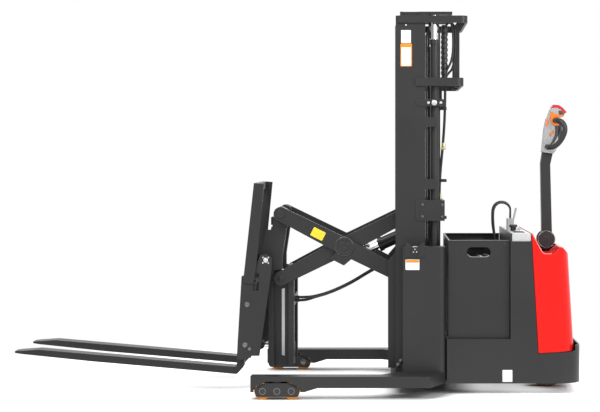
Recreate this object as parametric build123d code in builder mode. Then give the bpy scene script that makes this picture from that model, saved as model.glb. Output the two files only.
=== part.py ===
"""Walkie reach stacker with straddle legs, a two stage mast and a pantograph that carries the forks.

Millimetres. +X runs from the forks to the tiller, +Y across the machine, +Z up from the floor.
The origin is on the floor, under the middle of the machine's box.
Left is the side of -Y, as seen by someone who stands at the tiller and looks at the forks.
"""
from build123d import *
from math import cos, radians, sin, tan
import os

os.makedirs("parts", exist_ok=True)

# Straddle legs
overall_width = 1220.0
body_width = 850.0
leg_width = 90.0
leg_top = 114.0
leg_front_x = -204.0
leg_front_bottom = 38.0
leg_rear_bottom = 58.0
leg_step_x = 61.0
leg_step_run = 69.0
leg_flare_x = 440.0
leg_rear_x = 757.0
leg_bevel_x = 676.0
leg_root_y = body_width / 2
leg_wall = 8.0
leg_roof = 10.0

# Rocking pairs of load wheels under the legs
bogie_x = -74.0
load_wheel_radius = 42.0
load_wheel_width = 68.0
load_wheel_spacing = 141.0
load_hub_radius = 27.0
hub_recess = 3.0
load_axle_radius = 12.0
bogie_plate_radius = 35.0
bogie_plate_top = 81.0
bogie_pin_radius = 12.0
bogie_gap = 9.0
bogie_lug_length = 34.0
running_gap = 0.3

# Power unit
body_front_x = 765.0
body_rear_x = 1440.0
body_bottom = 55.0
body_skirt_top = 277.0
body_corner = 110.0
sheet = 8.0
hood_front_x = 1084.0
hood_top = 806.0
console_height = 40.0
hood_deck = hood_top - console_height
cover_seam_top_x = 1190.0
cover_seam_bottom_x = 1224.0
cover_bottom = 206.0
cover_rear_bottom = 216.0
cover_rear_x = 1409.0
cover_shoulder_x = 1380.0
cover_shoulder_z = 700.0
cover_ledge_x = 1342.0
cover_ledge_z = 742.0
cover_dip_z = 704.0
cover_dip_run = 44.0
cover_swoop = 56.0
cover_wall = 6.0
cover_set_in = 3.0
cover_width = body_width - 2 * cover_set_in
cover_corner = 90.0
panel_gap = 3.0

# Battery compartment
battery_box_front_x = body_front_x + sheet + running_gap
box_side_gap = 21.0
battery_box_width = body_width - 2 * (sheet + box_side_gap)
battery_box_top = 770.0
battery_deck_z = 190.0
battery_top = 640.0
battery_margin = 14.0
handle_slot_x = 926.0
handle_slot_z = 711.0
handle_slot_length = 120.0
handle_slot_height = 50.0
box_rim = 22.0

# Drive wheel, castor and their steering axes
drive_x = 1291.0
drive_y = -100.0
drive_wheel_radius = 115.0
drive_wheel_width = 74.0
drive_hub_radius = 82.0
drive_plate_z = 262.0
drive_plate_thickness = 15.0
turntable_radius = 104.0
table_hole = 95.0
inner_wall_set_in = 29.0
inner_wall_y = body_width / 2 - inner_wall_set_in
motor_radius = 78.0
motor_height = 230.0
castor_x = 1258.0
castor_y = 250.0
castor_trail = 42.0
castor_wheel_radius = 75.0
castor_wheel_width = 50.0
castor_hub_radius = 48.0

# Tiller
tiller_pivot_z = 763.0
tiller_shaft_radius = 22.0
tiller_arm_width = 50.0
tiller_drum_radius = 46.0
tiller_well_radius = 68.0

# Mast stiles: outer channels with inner beams nested in them
mast_front_x = 509.0
mast_depth = 150.0
mast_half_width = 340.0
stile_web = 10.0
stile_flange = 16.0
stile_reach = 44.0
mast_floor = 75.0
slide_gap = 6.0
inner_flange = 14.0
inner_reach_out = 18.0
inner_reach_in = 16.0
inner_web = 8.0
inner_mast_bottom = 100.0
inner_mast_top = 1926.0
head_thickness = 14.0
head_low = inner_mast_top - head_thickness
mast_top_gap = 8.0
outer_mast_top = head_low - mast_top_gap
roller_width = 13.0

# Lift cylinders, chains and their sheaves behind the stiles
cylinder_x = 706.0
cylinder_y = 290.0
barrel_radius = 21.0
rod_radius = 14.0
barrel_drop = 118.0
barrel_top = outer_mast_top - barrel_drop
sheave_x = 705.0
sheave_radius = 27.0
sheave_y = 236.0
sheave_drop = 80.0
sheave_z = inner_mast_top - sheave_drop
chain_width = 20.0
chain_thickness = 10.0
chain_low_z = 200.0
chain_rear_low_z = 130.0

# Mast ties: loops that run round behind the cylinders
tie_thickness = 12.0

# Pantograph
arm_half = 366.0
arm_rest_angle = 27.0
arm_depth = 88.0
arm_thickness = 20.0
outer_arm_y = 222.0
inner_arm_y = 196.0
back_pivot_x = 572.0
back_pivot_z = 897.0
pivot_pin_radius = 18.0
pantograph_tube_radius = 30.0
pantograph_shaft_radius = 20.0
guide_roller_radius = 36.0
gusset_drop = 98.0

# Reach cylinders
reach_drop = 104.0
reach_y = 118.0
reach_eye_along = 113.0
reach_eye_up = 20.0
reach_barrel_radius = 27.0
reach_barrel_length = 165.0
reach_gland_length = 22.0
reach_rod_radius = 13.0
reach_rod_length = 196.0
eye_width = 28.0

# Mast carriage
carriage_front_x = 470.0
carriage_bottom = 115.0
carriage_top = 960.0
carriage_plate_y = 272.0
carriage_plate = 10.0

# Front frame of the pantograph
frame_channel_half = 66.0
frame_channel_bottom = 107.0
frame_channel_top = 606.0
frame_channel_y = 140.0
frame_channel_depth = 52.0
frame_wall = 12.0
frame_flange = 28.0
frame_foot_radius = 20.0

# Tilt cylinder
tilt_neck = 24.0
tilt_barrel_radius = 24.0
tilt_barrel_length = 62.0
tilt_rod_radius = 16.0
tilt_rod_grip = 8.0

# Hoses across the pantograph, with the heights of their two ends
hose_radius = 7.0
hose_fitting = 9.0
hose_fitting_length = 20.0
reach_hose_table = [
    # y, z at the mast carriage, z at the front frame
    (-62.0, 668.0, 456.0),
    (-38.0, 662.0, 438.0),
]
hose_tie = (640.0, 690.0)
frame_tie = (420.0, 472.0)

# Tilting fork carriage, in its level position
tilt_pivot_x = -152.0
tilt_pivot_z = 664.0
rest_tilt = 5.0
side_plate_y = 288.0
side_plate = 12.0

# Forks
fork_spread_y = 215.0
fork_width = 100.0
fork_thickness = 36.0
fork_top_z = 106.0
fork_heel_x = -255.0
fork_tip_x = -1392.0
fork_shank_top = 560.0
fork_tip_run = 122.0
fork_tip_drop = 19.0
fork_tip_thickness = 10.0
fork_taper = 400.0
fork_heel_run = 30.0
fork_heel_rise = 40.0
fork_tip_bevel = 16.0

# Load backrest
backrest_top = 1050.0
backrest_thickness = 12.0

# Share of the shorter run beside a bend that the bend's arc takes
bend_share = 0.45

left = -1
right = 1
sides = {"left": left, "right": right}
sin_rest = sin(radians(arm_rest_angle))
cos_rest = cos(radians(arm_rest_angle))
leg_outer_y = overall_width / 2
leg_inner_y = leg_outer_y - leg_width
leg_middle_y = leg_outer_y - leg_width / 2


def slab(points, y_low, y_high, rounding=0, mode=Mode.ADD):
    """A plate square to Y with an outline in X and Z."""
    with BuildSketch(Plane.XZ.offset(-y_high)) as outline:
        with BuildLine():
            if rounding:
                FilletPolyline(*points, radius=rounding, close=True)
            else:
                Polyline(*points, close=True)
        make_face()
    extrude(outline.sketch, amount=y_high - y_low, mode=mode)


def plan(points, z_low, z_high, rounding=0, mode=Mode.ADD):
    """An upright prism with an outline in X and Y."""
    with BuildSketch(Plane.XY.offset(z_low)) as outline:
        with BuildLine():
            if rounding:
                FilletPolyline(*points, radius=rounding, close=True)
            else:
                Polyline(*points, close=True)
        make_face()
    extrude(outline.sketch, amount=z_high - z_low, mode=mode)


def brick(x_low, x_high, y_low, y_high, z_low, z_high, mode=Mode.ADD):
    """A block between two corners."""
    corners = [(x_low, y_low), (x_high, y_low), (x_high, y_high), (x_low, y_high)]
    plan(corners, z_low, z_high, mode=mode)


def disc_y(x, z, radius, y_low, y_high, mode=Mode.ADD):
    """A round bar along Y."""
    with BuildSketch(Plane.XZ.offset(-y_high)) as outline:
        with Locations((x, z)):
            Circle(radius)
    extrude(outline.sketch, amount=y_high - y_low, mode=mode)


def disc_z(x, y, radius, z_low, z_high, mode=Mode.ADD):
    """A round bar along Z."""
    with BuildSketch(Plane.XY.offset(z_low)) as outline:
        with Locations((x, y)):
            Circle(radius)
    extrude(outline.sketch, amount=z_high - z_low, mode=mode)


def bar_along(point, direction, radius, length, y, mode=Mode.ADD):
    """A round bar that starts at a point in X and Z and runs along a direction."""
    with BuildSketch(Plane(origin=(point[0], y, point[1]), z_dir=direction)) as outline:
        Circle(radius)
    extrude(outline.sketch, amount=length, mode=mode)


def tube(points, radius):
    """A hose or cable on straight runs joined by arcs as large as the runs allow."""
    bends = []
    for before, here, after in zip(points, points[1:], points[2:]):
        run_in, run_out = Vector(*here) - Vector(*before), Vector(*after) - Vector(*here)
        half_turn = radians(run_in.get_angle(run_out)) / 2
        bends.append(bend_share * min(run_in.length, run_out.length) / tan(half_turn))
    with BuildLine() as path:
        FilletPolyline(*points, radius=bends)
    with BuildSketch(Plane(origin=path.line @ 0, z_dir=path.line % 0)) as section:
        Circle(radius)
    sweep(section.sketch, path=path.line)
    print("tube", round(path.wire().length), "mm, smallest bend", round(min(bends)))


def both(y_low, y_high):
    """The same span of Y on the left and on the right."""
    return ((-y_high, -y_low), (y_low, y_high))


def finish(part, node):
    """Names a piece and writes it."""
    part.label = node
    export_step(part, f"parts/{node}.step")
    print(node, len(part.solids()), round(part.volume))


def towards(start, end, distance):
    """The point that lies a distance from start on the way to end."""
    whole = ((end[0] - start[0]) ** 2 + (end[1] - start[1]) ** 2) ** 0.5
    share = distance / whole
    return (start[0] + (end[0] - start[0]) * share, start[1] + (end[1] - start[1]) * share)


# Straddle legs, each with a pocket and an arch for its pair of wheels
bogie_half = load_wheel_spacing / 2 + bogie_plate_radius
arch_half = bogie_half + bogie_gap
arch_top = bogie_plate_top + bogie_gap
wheel_axle_z = load_wheel_radius


def arch_outline(half, top, low, side_rise):
    """The bowed outline that the rocker plate and its opening share."""
    return [
        (bogie_x - half, low),
        (bogie_x - half, side_rise),
        (bogie_x - half * 0.45, top),
        (bogie_x + half * 0.45, top),
        (bogie_x + half, side_rise),
        (bogie_x + half, low),
    ]


def make_leg(side):
    with BuildPart() as leg:
        inner, outer, root = side * leg_inner_y, side * leg_outer_y, side * leg_root_y
        plan(
            [
                (leg_front_x, inner),
                (leg_flare_x, inner),
                (leg_flare_x + leg_width, root),
                (leg_rear_x, root),
                (leg_bevel_x, outer),
                (leg_front_x, outer),
            ],
            leg_rear_bottom,
            leg_top,
        )
        low, high = sorted((inner, outer))
        slab(
            [
                (leg_front_x, leg_front_bottom),
                (leg_step_x, leg_front_bottom),
                (leg_step_x + leg_step_run, leg_rear_bottom + 1),
                (leg_front_x, leg_rear_bottom + 1),
            ],
            low,
            high,
        )
        pocket = (leg_front_x + leg_wall, bogie_x + arch_half + leg_wall)
        brick(
            pocket[0],
            pocket[1],
            low + leg_wall,
            high - leg_wall,
            0,
            leg_top - leg_roof,
            mode=Mode.SUBTRACT,
        )
        slab(
            arch_outline(arch_half, arch_top, 0, wheel_axle_z + 18),
            low - 1,
            high + 1,
            mode=Mode.SUBTRACT,
        )
        # Lug that carries the rocker's pin between the two wheels
        brick(
            bogie_x - bogie_lug_length / 2,
            bogie_x + bogie_lug_length / 2,
            low + leg_wall + 4,
            high - leg_wall - 4,
            wheel_axle_z - 18,
            leg_top - leg_roof,
        )
        disc_y(
            bogie_x, wheel_axle_z, bogie_pin_radius + running_gap, low, high, mode=Mode.SUBTRACT
        )
    return leg.part


for name, side in sides.items():
    finish(make_leg(side), f"leg_{name}")


# Rockers with their pins, and the load wheels with their hubs
def make_bogie(side):
    with BuildPart() as bogie:
        low, high = sorted((side * leg_inner_y, side * leg_outer_y))
        for y_low, y_high in ((low, low + leg_wall), (high - leg_wall, high)):
            outline = arch_outline(bogie_half, bogie_plate_top, 15, wheel_axle_z + 12)
            slab(outline, y_low, y_high, rounding=10)
        disc_y(bogie_x, wheel_axle_z, bogie_pin_radius, low, high)
        for end in (-1, 1):
            axle_x = bogie_x + end * load_wheel_spacing / 2
            disc_y(axle_x, wheel_axle_z, load_axle_radius, low, high)
    return bogie.part


def make_load_wheel(side, end):
    with BuildPart() as wheel:
        axle_x = bogie_x + end * load_wheel_spacing / 2
        middle = side * leg_middle_y
        low, high = middle - load_wheel_width / 2, middle + load_wheel_width / 2
        disc_y(axle_x, wheel_axle_z, load_wheel_radius, low, high)
        chamfer(wheel.edges().filter_by(GeomType.CIRCLE), 3)
        for y_low, y_high in ((low, low + hub_recess), (high - hub_recess, high)):
            disc_y(axle_x, wheel_axle_z, load_hub_radius, y_low, y_high, mode=Mode.SUBTRACT)
        bore = load_axle_radius + running_gap
        disc_y(axle_x, wheel_axle_z, bore, low, high, mode=Mode.SUBTRACT)
    return wheel.part


for name, side in sides.items():
    finish(make_bogie(side), f"bogie_{name}")
    for place, end in (("front", -1), ("rear", 1)):
        finish(make_load_wheel(side, end), f"load_wheel_{name}_{place}")

# Base that ties the legs, the mast's foot and the power unit together
with BuildPart() as chassis_frame:
    root = leg_root_y - running_gap
    brick(mast_front_x - 25, leg_rear_x, -root, root, leg_rear_bottom, mast_floor)
    back_y = mast_half_width - running_gap
    brick(
        leg_rear_x - sheet, body_front_x - running_gap, -back_y, back_y, leg_rear_bottom + 4, body_skirt_top,
    )
finish(chassis_frame.part, "chassis_frame")

# Skirt of the power unit, open below, with a deck for the battery and a plate for the drive
skirt_y = body_width / 2
with BuildPart() as power_body:
    with BuildSketch(Plane.XY.offset(body_bottom)) as footprint:
        with BuildLine():
            FilletPolyline(
                (body_front_x, -skirt_y),
                (body_rear_x, -skirt_y),
                (body_rear_x, skirt_y),
                (body_front_x, skirt_y),
                radius=[body_corner, body_corner],
            )
            Line((body_front_x, skirt_y), (body_front_x, -skirt_y))
        make_face()
    extrude(footprint.sketch, amount=hood_deck - body_bottom)
    extrude(
        offset(footprint.sketch, amount=-sheet, kind=Kind.INTERSECTION, mode=Mode.PRIVATE),
        amount=hood_deck - body_bottom - sheet,
        mode=Mode.SUBTRACT,
    )
    beyond = body_rear_x + 10
    cover_slope = (cover_rear_x - cover_shoulder_x) / (cover_shoulder_z - cover_rear_bottom)
    cover_inside_x = cover_rear_x - cover_slope * (drive_plate_z - cover_rear_bottom) - cover_wall
    slab(
        [
            (body_front_x - 10, body_skirt_top),
            (hood_front_x, body_skirt_top),
            (hood_front_x, hood_top + 10),
            (body_front_x - 10, hood_top + 10),
        ],
        -skirt_y - 1,
        skirt_y + 1,
        mode=Mode.SUBTRACT,
    )
    slab(
        [
            (cover_seam_top_x - panel_gap, hood_top + 10),
            (cover_seam_bottom_x - panel_gap, cover_bottom - panel_gap),
            (cover_rear_x + panel_gap, cover_rear_bottom - panel_gap),
            (cover_rear_x + panel_gap, cover_rear_bottom + 26),
            (beyond, cover_rear_bottom + 26),
            (beyond, hood_top + 10),
        ],
        -skirt_y - 1,
        skirt_y + 1,
        mode=Mode.SUBTRACT,
    )
    inside = skirt_y - sheet
    brick(body_front_x, hood_front_x + sheet, -inside, inside, battery_deck_z - sheet, battery_deck_z)
    brick(hood_front_x, hood_front_x + sheet, -inside, inside, battery_deck_z, hood_top)
    plate_low = drive_plate_z - drive_plate_thickness
    plate_rear_x = cover_inside_x - running_gap
    corner_x = plate_rear_x - 100
    corner_y = inner_wall_y - 96
    plan(
        [
            (hood_front_x + sheet, -inner_wall_y),
            (corner_x, -inner_wall_y),
            (plate_rear_x, -corner_y),
            (plate_rear_x, corner_y),
            (corner_x, inner_wall_y),
            (hood_front_x + sheet, inner_wall_y),
        ],
        plate_low,
        drive_plate_z,
    )
    for y_low, y_high in both(inner_wall_y - sheet, inner_wall_y):
        brick(hood_front_x, corner_x, y_low, y_high, battery_deck_z - 30, plate_low)
    for y_low, y_high in both(inner_wall_y - sheet, inside):
        brick(hood_front_x, corner_x, y_low, y_high, battery_deck_z - 30, battery_deck_z - 22)
    disc_z(drive_x, drive_y, table_hole, plate_low, drive_plate_z, mode=Mode.SUBTRACT)
finish(power_body.part, "power_body")

# Red rear cover, a shell that is open below and in front, with a dip round the tiller
cover_y = cover_width / 2
cover_points = [
    (cover_seam_top_x, hood_top),
    (cover_seam_bottom_x, cover_bottom),
    (cover_rear_x, cover_rear_bottom),
    (cover_shoulder_x, cover_shoulder_z),
    (cover_ledge_x, cover_ledge_z),
    (cover_ledge_x - cover_dip_run, cover_dip_z),
    (cover_seam_top_x + cover_swoop, cover_dip_z),
    (cover_seam_top_x + panel_gap, hood_top),
]
cover_rounding = [0, 0, 14, 26, 14, 24, 40, 0]
cover_rear_lean = (cover_shoulder_x - cover_rear_x) / (cover_shoulder_z - cover_rear_bottom)


def cover_form(inset, below):
    """The cover's outer form, or with an inset the space inside it, which runs out in front and below."""
    half = cover_y - inset
    corner_radius = cover_corner - inset
    with BuildPart() as form:
        with BuildSketch(Plane.XZ.offset(-half)) as outline:
            with BuildLine():
                FilletPolyline(*cover_points, radius=cover_rounding, close=True)
            make_face()
            if inset:
                offset(amount=-inset, kind=Kind.INTERSECTION, mode=Mode.REPLACE)
                with BuildLine():
                    Polyline(
                        (cover_seam_bottom_x - below, cover_bottom - below),
                        (cover_rear_x - inset, cover_bottom - below),
                        (cover_rear_x - inset, cover_rear_bottom),
                        (cover_rear_x - 2 * inset, cover_rear_bottom + cover_corner),
                        (cover_seam_bottom_x + 2 * inset, cover_dip_z - 3 * inset),
                        (cover_seam_top_x - below, cover_dip_z - 3 * inset),
                        close=True,
                    )
                make_face()
        extrude(outline.sketch, amount=2 * half)
        rear_x = cover_rear_x - inset + cover_rear_lean * -below
        with BuildSketch(Plane.XY.offset(cover_rear_bottom - below)) as footprint:
            with BuildLine():
                FilletPolyline(
                    (cover_seam_top_x - 2 * below, -half),
                    (rear_x, -half),
                    (rear_x, half),
                    (cover_seam_top_x - 2 * below, half),
                    radius=[0, corner_radius, corner_radius, 0],
                    close=True,
                )
            make_face()
        rise = hood_top - cover_bottom + 2 * below
        extrude(footprint.sketch, amount=rise, dir=(cover_rear_lean, 0, 1), mode=Mode.INTERSECT)
    return form.part


cover_outer = cover_form(0, cover_corner)
cover_inner = cover_form(cover_wall, cover_corner)
with BuildPart() as rear_cover:
    add(cover_outer)
    add(cover_inner, mode=Mode.SUBTRACT)
    disc_z(
        drive_x, drive_y, tiller_well_radius, cover_rear_bottom + cover_corner, hood_top, mode=Mode.SUBTRACT,
    )
finish(rear_cover.part, "rear_cover")

# Battery compartment: three panels with a folded rim and hand holes, open on top
box_y = battery_box_width / 2
box_rear_x = hood_front_x - panel_gap
with BuildPart() as battery_box:
    floor = battery_deck_z + running_gap
    brick(battery_box_front_x, box_rear_x, -box_y, box_y, floor, battery_box_top)
    brick(
        battery_box_front_x + sheet,
        box_rear_x + 1,
        -box_y + sheet,
        box_y - sheet,
        floor,
        battery_box_top,
        mode=Mode.SUBTRACT,
    )
    for y_low, y_high in both(box_y - sheet - box_rim, box_y - sheet):
        brick(battery_box_front_x + sheet, box_rear_x, y_low, y_high, battery_box_top - 4, battery_box_top)
    with BuildSketch(Plane.XZ.offset(-box_y - 1)) as hand_hole:
        with Locations((handle_slot_x, handle_slot_z)):
            SlotOverall(handle_slot_length, handle_slot_height)
    extrude(hand_hole.sketch, amount=battery_box_width + 2, mode=Mode.SUBTRACT)
finish(battery_box.part, "battery_box")

with BuildPart() as battery:
    brick(
        battery_box_front_x + sheet + battery_margin,
        box_rear_x - battery_margin,
        -box_y + sheet + battery_margin,
        box_y - sheet - battery_margin,
        battery_deck_z,
        battery_top,
    )
    chamfer(battery.edges().filter_by(Axis.Z), 6)
finish(battery.part, "battery")

# Console on top of the hood, with a sunk display field, and its knob
console_low = hood_deck + running_gap
console_top = hood_top
console_y = skirt_y - 10
display_x = (hood_front_x + 26, hood_front_x + 76)
display_y = (-330.0, -230.0)
with BuildPart() as console:
    front, rear = hood_front_x + sheet + running_gap, cover_seam_top_x - panel_gap
    brick(front, rear, -console_y, console_y, console_low, console_top)
    top_edges = console.faces().sort_by(Axis.Z)[-1].edges()
    fillet(top_edges, 5)
    brick(*display_x, *display_y, console_top - 3, console_top + 1, mode=Mode.SUBTRACT)
finish(console.part, "console")

knob_x, knob_y = 1118.0, -150.0
knob_radius = 21.0
with BuildPart() as stop_knob:
    disc_z(knob_x, knob_y, knob_radius - 7, console_top, console_top + 20)
    disc_z(knob_x, knob_y, knob_radius, console_top + 20, console_top + 34)
    fillet(stop_knob.edges().filter_by(GeomType.CIRCLE).sort_by(Axis.Z)[-1], 6)
finish(stop_knob.part, "stop_knob")

# Battery plug that stands in its holder on the console's front edge
plug_x, plug_y = 1110.0, -40.0
plug_half_x, plug_half_y = 18.0, 35.0
plug_top = console_top + 62
lever_low = console_top + 44
with BuildPart() as battery_plug:
    brick(
        plug_x - plug_half_x, plug_x + plug_half_x, plug_y - plug_half_y, plug_y + plug_half_y,
        console_top, plug_top,
    )
    fillet(battery_plug.edges().filter_by(Axis.Z), 5)
    slab(
        [
            (plug_x + plug_half_x - 8, lever_low),
            (plug_x + plug_half_x, lever_low),
            (plug_x + 36, plug_top + 52),
            (plug_x + 26, plug_top + 56),
        ],
        plug_y - 10,
        plug_y + 10,
    )
finish(battery_plug.part, "battery_plug")

# Bent plates beside the mast's foot
column_front_x, column_rear_x = 545.0, 757.0
column_top = 740.0
column_y = 448.0
column_wall = 8.0
column_corner = 30.0
lug_front_x, lug_rear_x = 557.0, 652.0
lug_middle_x = (lug_front_x + lug_rear_x) / 2
lug_thickness = 6.0
lug_drop = 50.0
lug_rise = 20.0
lug_ear = 12.0
lug_pin_radius = 16.0
with BuildPart() as mast_columns:
    for side in (left, right):
        inner, outer = side * mast_half_width, side * column_y
        plan(
            [
                (column_front_x, inner), (column_front_x, outer),
                (column_rear_x, outer), (column_rear_x, inner),
            ],
            leg_top,
            column_top,
            rounding=[0, 0, column_corner, 0],
        )
        wall_y = outer - side * column_wall
        front, rear = column_front_x + column_wall, column_rear_x - column_wall
        plan(
            [(front, inner - side), (front, wall_y), (rear, wall_y), (rear, inner - side)],
            leg_top,
            column_top - column_wall,
            rounding=[0, 0, column_corner - column_wall, 0],
            mode=Mode.SUBTRACT,
        )
        y_low, y_high = sorted((outer, outer + side * lug_thickness))
        slab(
            [
                (lug_front_x, column_top - lug_drop),
                (lug_rear_x, column_top - lug_drop),
                (lug_rear_x, column_top + lug_rise),
                (lug_rear_x - lug_ear, column_top + lug_rise),
                (lug_rear_x - lug_ear - lug_rise, column_top),
                (lug_front_x + lug_ear + lug_rise, column_top),
                (lug_front_x + lug_ear, column_top + lug_rise),
                (lug_front_x, column_top + lug_rise),
            ],
            y_low,
            y_high,
        )
        y_low, y_high = sorted((outer, outer + side * 3 * lug_thickness))
        disc_y(lug_middle_x, column_top - lug_rise, lug_pin_radius, y_low, y_high)
finish(mast_columns.part, "mast_columns")

# Outer mast: two channels, and ties that run round behind everything that rises
mast_rear_x = mast_front_x + mast_depth
loop_front_x, loop_rear_x = 518.0, 873.0
loop_low = outer_mast_top - 36
second_front_x, second_rear_x = 609.0, 853.0
second_low, second_high = outer_mast_top - 355, outer_mast_top - 314
loop_corner = 34.0
tie_plate_front_x, tie_rear_x = 611.0, 757.0
tie_bevel = 14.0
clamp_tie_z = (outer_mast_top - 458, outer_mast_top - 423)
big_tie_z = (866.0, 970.0)
upright_x, upright_y = 815.0, 150.0
upright_width = 24.0
upright_foot_z = loop_low - 36
clamp_gap = 0.5
clamp_blocks = [(1026.0, 1077.0), (1342.0, 1390.0)]
clamp_rear_x = 717.0


def loop_tie(front, rear, low, high):
    """A band that runs from one stile round behind to the other, with round rear corners."""
    outer_y = mast_half_width + tie_thickness
    inner_y = mast_half_width
    inner_rear = rear - tie_thickness
    with BuildSketch(Plane.XY.offset(low)) as band:
        with BuildLine():
            FilletPolyline(
                (front, -outer_y),
                (rear, -outer_y),
                (rear, outer_y),
                (front, outer_y),
                radius=[0, loop_corner, loop_corner, 0],
                close=True,
            )
        make_face()
        with BuildLine():
            FilletPolyline(
                (front, -inner_y),
                (inner_rear, -inner_y),
                (inner_rear, inner_y),
                (front, inner_y),
                radius=[0, loop_corner - tie_thickness, loop_corner - tie_thickness, 0],
                close=True,
            )
        make_face(mode=Mode.SUBTRACT)
    extrude(band.sketch, amount=high - low)


with BuildPart() as outer_mast:
    for side in (left, right):
        face = side * mast_half_width
        web = face - side * stile_web
        tip = face - side * stile_reach
        plan(
            [
                (mast_front_x, face),
                (mast_rear_x, face),
                (mast_rear_x, tip),
                (mast_rear_x - stile_flange, tip),
                (mast_rear_x - stile_flange, web),
                (mast_front_x + stile_flange, web),
                (mast_front_x + stile_flange, tip),
                (mast_front_x, tip),
            ],
            mast_floor,
            outer_mast_top,
        )
    loop_tie(loop_front_x, loop_rear_x, loop_low, outer_mast_top)
    loop_tie(second_front_x, second_rear_x, second_low, second_high)
    for y_low, y_high in both(upright_y, upright_y + upright_width):
        slab(
            [
                (upright_x, second_low),
                (second_rear_x - tie_thickness, second_low),
                (second_rear_x - tie_thickness, second_high),
                (upright_x + upright_width, second_high),
                (upright_x + upright_width, upright_foot_z),
                (loop_rear_x - tie_thickness, loop_low),
                (loop_rear_x - tie_thickness, outer_mast_top),
                (upright_x + upright_width, outer_mast_top),
                (upright_x, loop_low),
            ],
            y_low,
            y_high,
        )
    flat_y = mast_half_width - stile_flange
    for low, high in (big_tie_z, clamp_tie_z):
        brick(tie_rear_x - tie_thickness, tie_rear_x, -mast_half_width, mast_half_width, low, high)
        for y_low, y_high in both(flat_y, mast_half_width):
            brick(mast_rear_x, tie_rear_x, y_low, y_high, low, high)
        for y_low, y_high in both(mast_half_width, mast_half_width + tie_thickness / 2):
            slab(
                [
                    (tie_plate_front_x, low + tie_bevel),
                    (tie_plate_front_x + tie_bevel, low),
                    (tie_rear_x, low),
                    (tie_rear_x, high),
                    (tie_plate_front_x, high),
                ],
                y_low,
                y_high,
            )
    # Blocks that hold the lift cylinders' barrels
    for low, high in clamp_blocks:
        for y_low, y_high in both(cylinder_y + barrel_radius + clamp_gap, mast_half_width):
            brick(mast_rear_x, clamp_rear_x, y_low, y_high, low, high)
finish(outer_mast.part, "outer_mast")

# Lift cylinders: barrels on the base, rods that push the inner mast's head
with BuildPart() as lift_barrels:
    for side in (left, right):
        y = side * cylinder_y
        disc_z(cylinder_x, y, barrel_radius, mast_floor, barrel_top)
        disc_z(cylinder_x, y, barrel_radius + 4, barrel_top - 24, barrel_top)
        disc_z(cylinder_x, y, rod_radius + running_gap, mast_floor + 20, barrel_top, mode=Mode.SUBTRACT)
finish(lift_barrels.part, "lift_barrels")

with BuildPart() as lift_rods:
    for side in (left, right):
        disc_z(cylinder_x, side * cylinder_y, rod_radius, mast_floor + 40, head_low)
finish(lift_rods.part, "lift_rods")

# Inner mast: two beams, a head plate behind them, a low tie and its rollers
inner_front_x = mast_front_x + stile_flange + slide_gap
inner_rear_x = mast_rear_x - stile_flange - slide_gap
inner_web_y = 304.0
inner_tip_out = inner_web_y + inner_reach_out
inner_tip_in = inner_web_y - inner_reach_in
mast_mid_x = mast_front_x + mast_depth / 2
head_rear_x = 796.0
with BuildPart() as inner_mast:
    for side in (left, right):
        web_in, web_out = side * inner_web_y, side * (inner_web_y + inner_web)
        tip_in, tip_out = side * inner_tip_in, side * inner_tip_out
        plan(
            [
                (inner_front_x, tip_in),
                (inner_front_x, tip_out),
                (inner_front_x + inner_flange, tip_out),
                (inner_front_x + inner_flange, web_out),
                (inner_rear_x - inner_flange, web_out),
                (inner_rear_x - inner_flange, tip_out),
                (inner_rear_x, tip_out),
                (inner_rear_x, tip_in),
                (inner_rear_x - inner_flange, tip_in),
                (inner_rear_x - inner_flange, web_in),
                (inner_front_x + inner_flange, web_in),
                (inner_front_x + inner_flange, tip_in),
            ],
            inner_mast_bottom,
            inner_mast_top,
        )
        roller_low, roller_high = sorted((web_out, side * (inner_web_y + inner_web + roller_width + 2)))
        disc_y(mast_mid_x, inner_mast_bottom + 70, 57, roller_low, roller_high)
    brick(inner_rear_x, head_rear_x, -inner_tip_out, inner_tip_out, head_low, inner_mast_top)
    tie_y = inner_tip_in + 3
    brick(inner_rear_x, inner_rear_x + 14, -tie_y, tie_y, inner_mast_bottom, inner_mast_bottom + 26)
    for side in (left, right):
        for y in (sheave_y - 22, sheave_y + 16):
            y_low, y_high = sorted((side * y, side * (y + 6)))
            brick(sheave_x - 16, sheave_x + 16, y_low, y_high, sheave_z - 16, head_low)
        y_low, y_high = sorted((side * (sheave_y - 22), side * (sheave_y + 22)))
        disc_y(sheave_x, sheave_z, 8, y_low, y_high)
finish(inner_mast.part, "inner_mast")

with BuildPart() as chain_sheaves:
    for side in (left, right):
        y = side * sheave_y
        disc_y(sheave_x, sheave_z, sheave_radius - chain_thickness / 2, y - 12, y + 12)
        disc_y(sheave_x, sheave_z, 8 + running_gap, y - 12, y + 12, mode=Mode.SUBTRACT)
finish(chain_sheaves.part, "chain_sheaves")

# Chains: the front strands go down to the carriage, the rear strands to the fixed clamps
strand_front_x = sheave_x - sheave_radius
strand_rear_x = sheave_x + sheave_radius
with BuildPart() as chain_front:
    for side in (left, right):
        y = side * sheave_y
        brick(
            strand_front_x - chain_thickness / 2,
            strand_front_x + chain_thickness / 2,
            y - chain_width / 2,
            y + chain_width / 2,
            chain_low_z,
            sheave_z,
        )
finish(chain_front.part, "chain_front")

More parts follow.
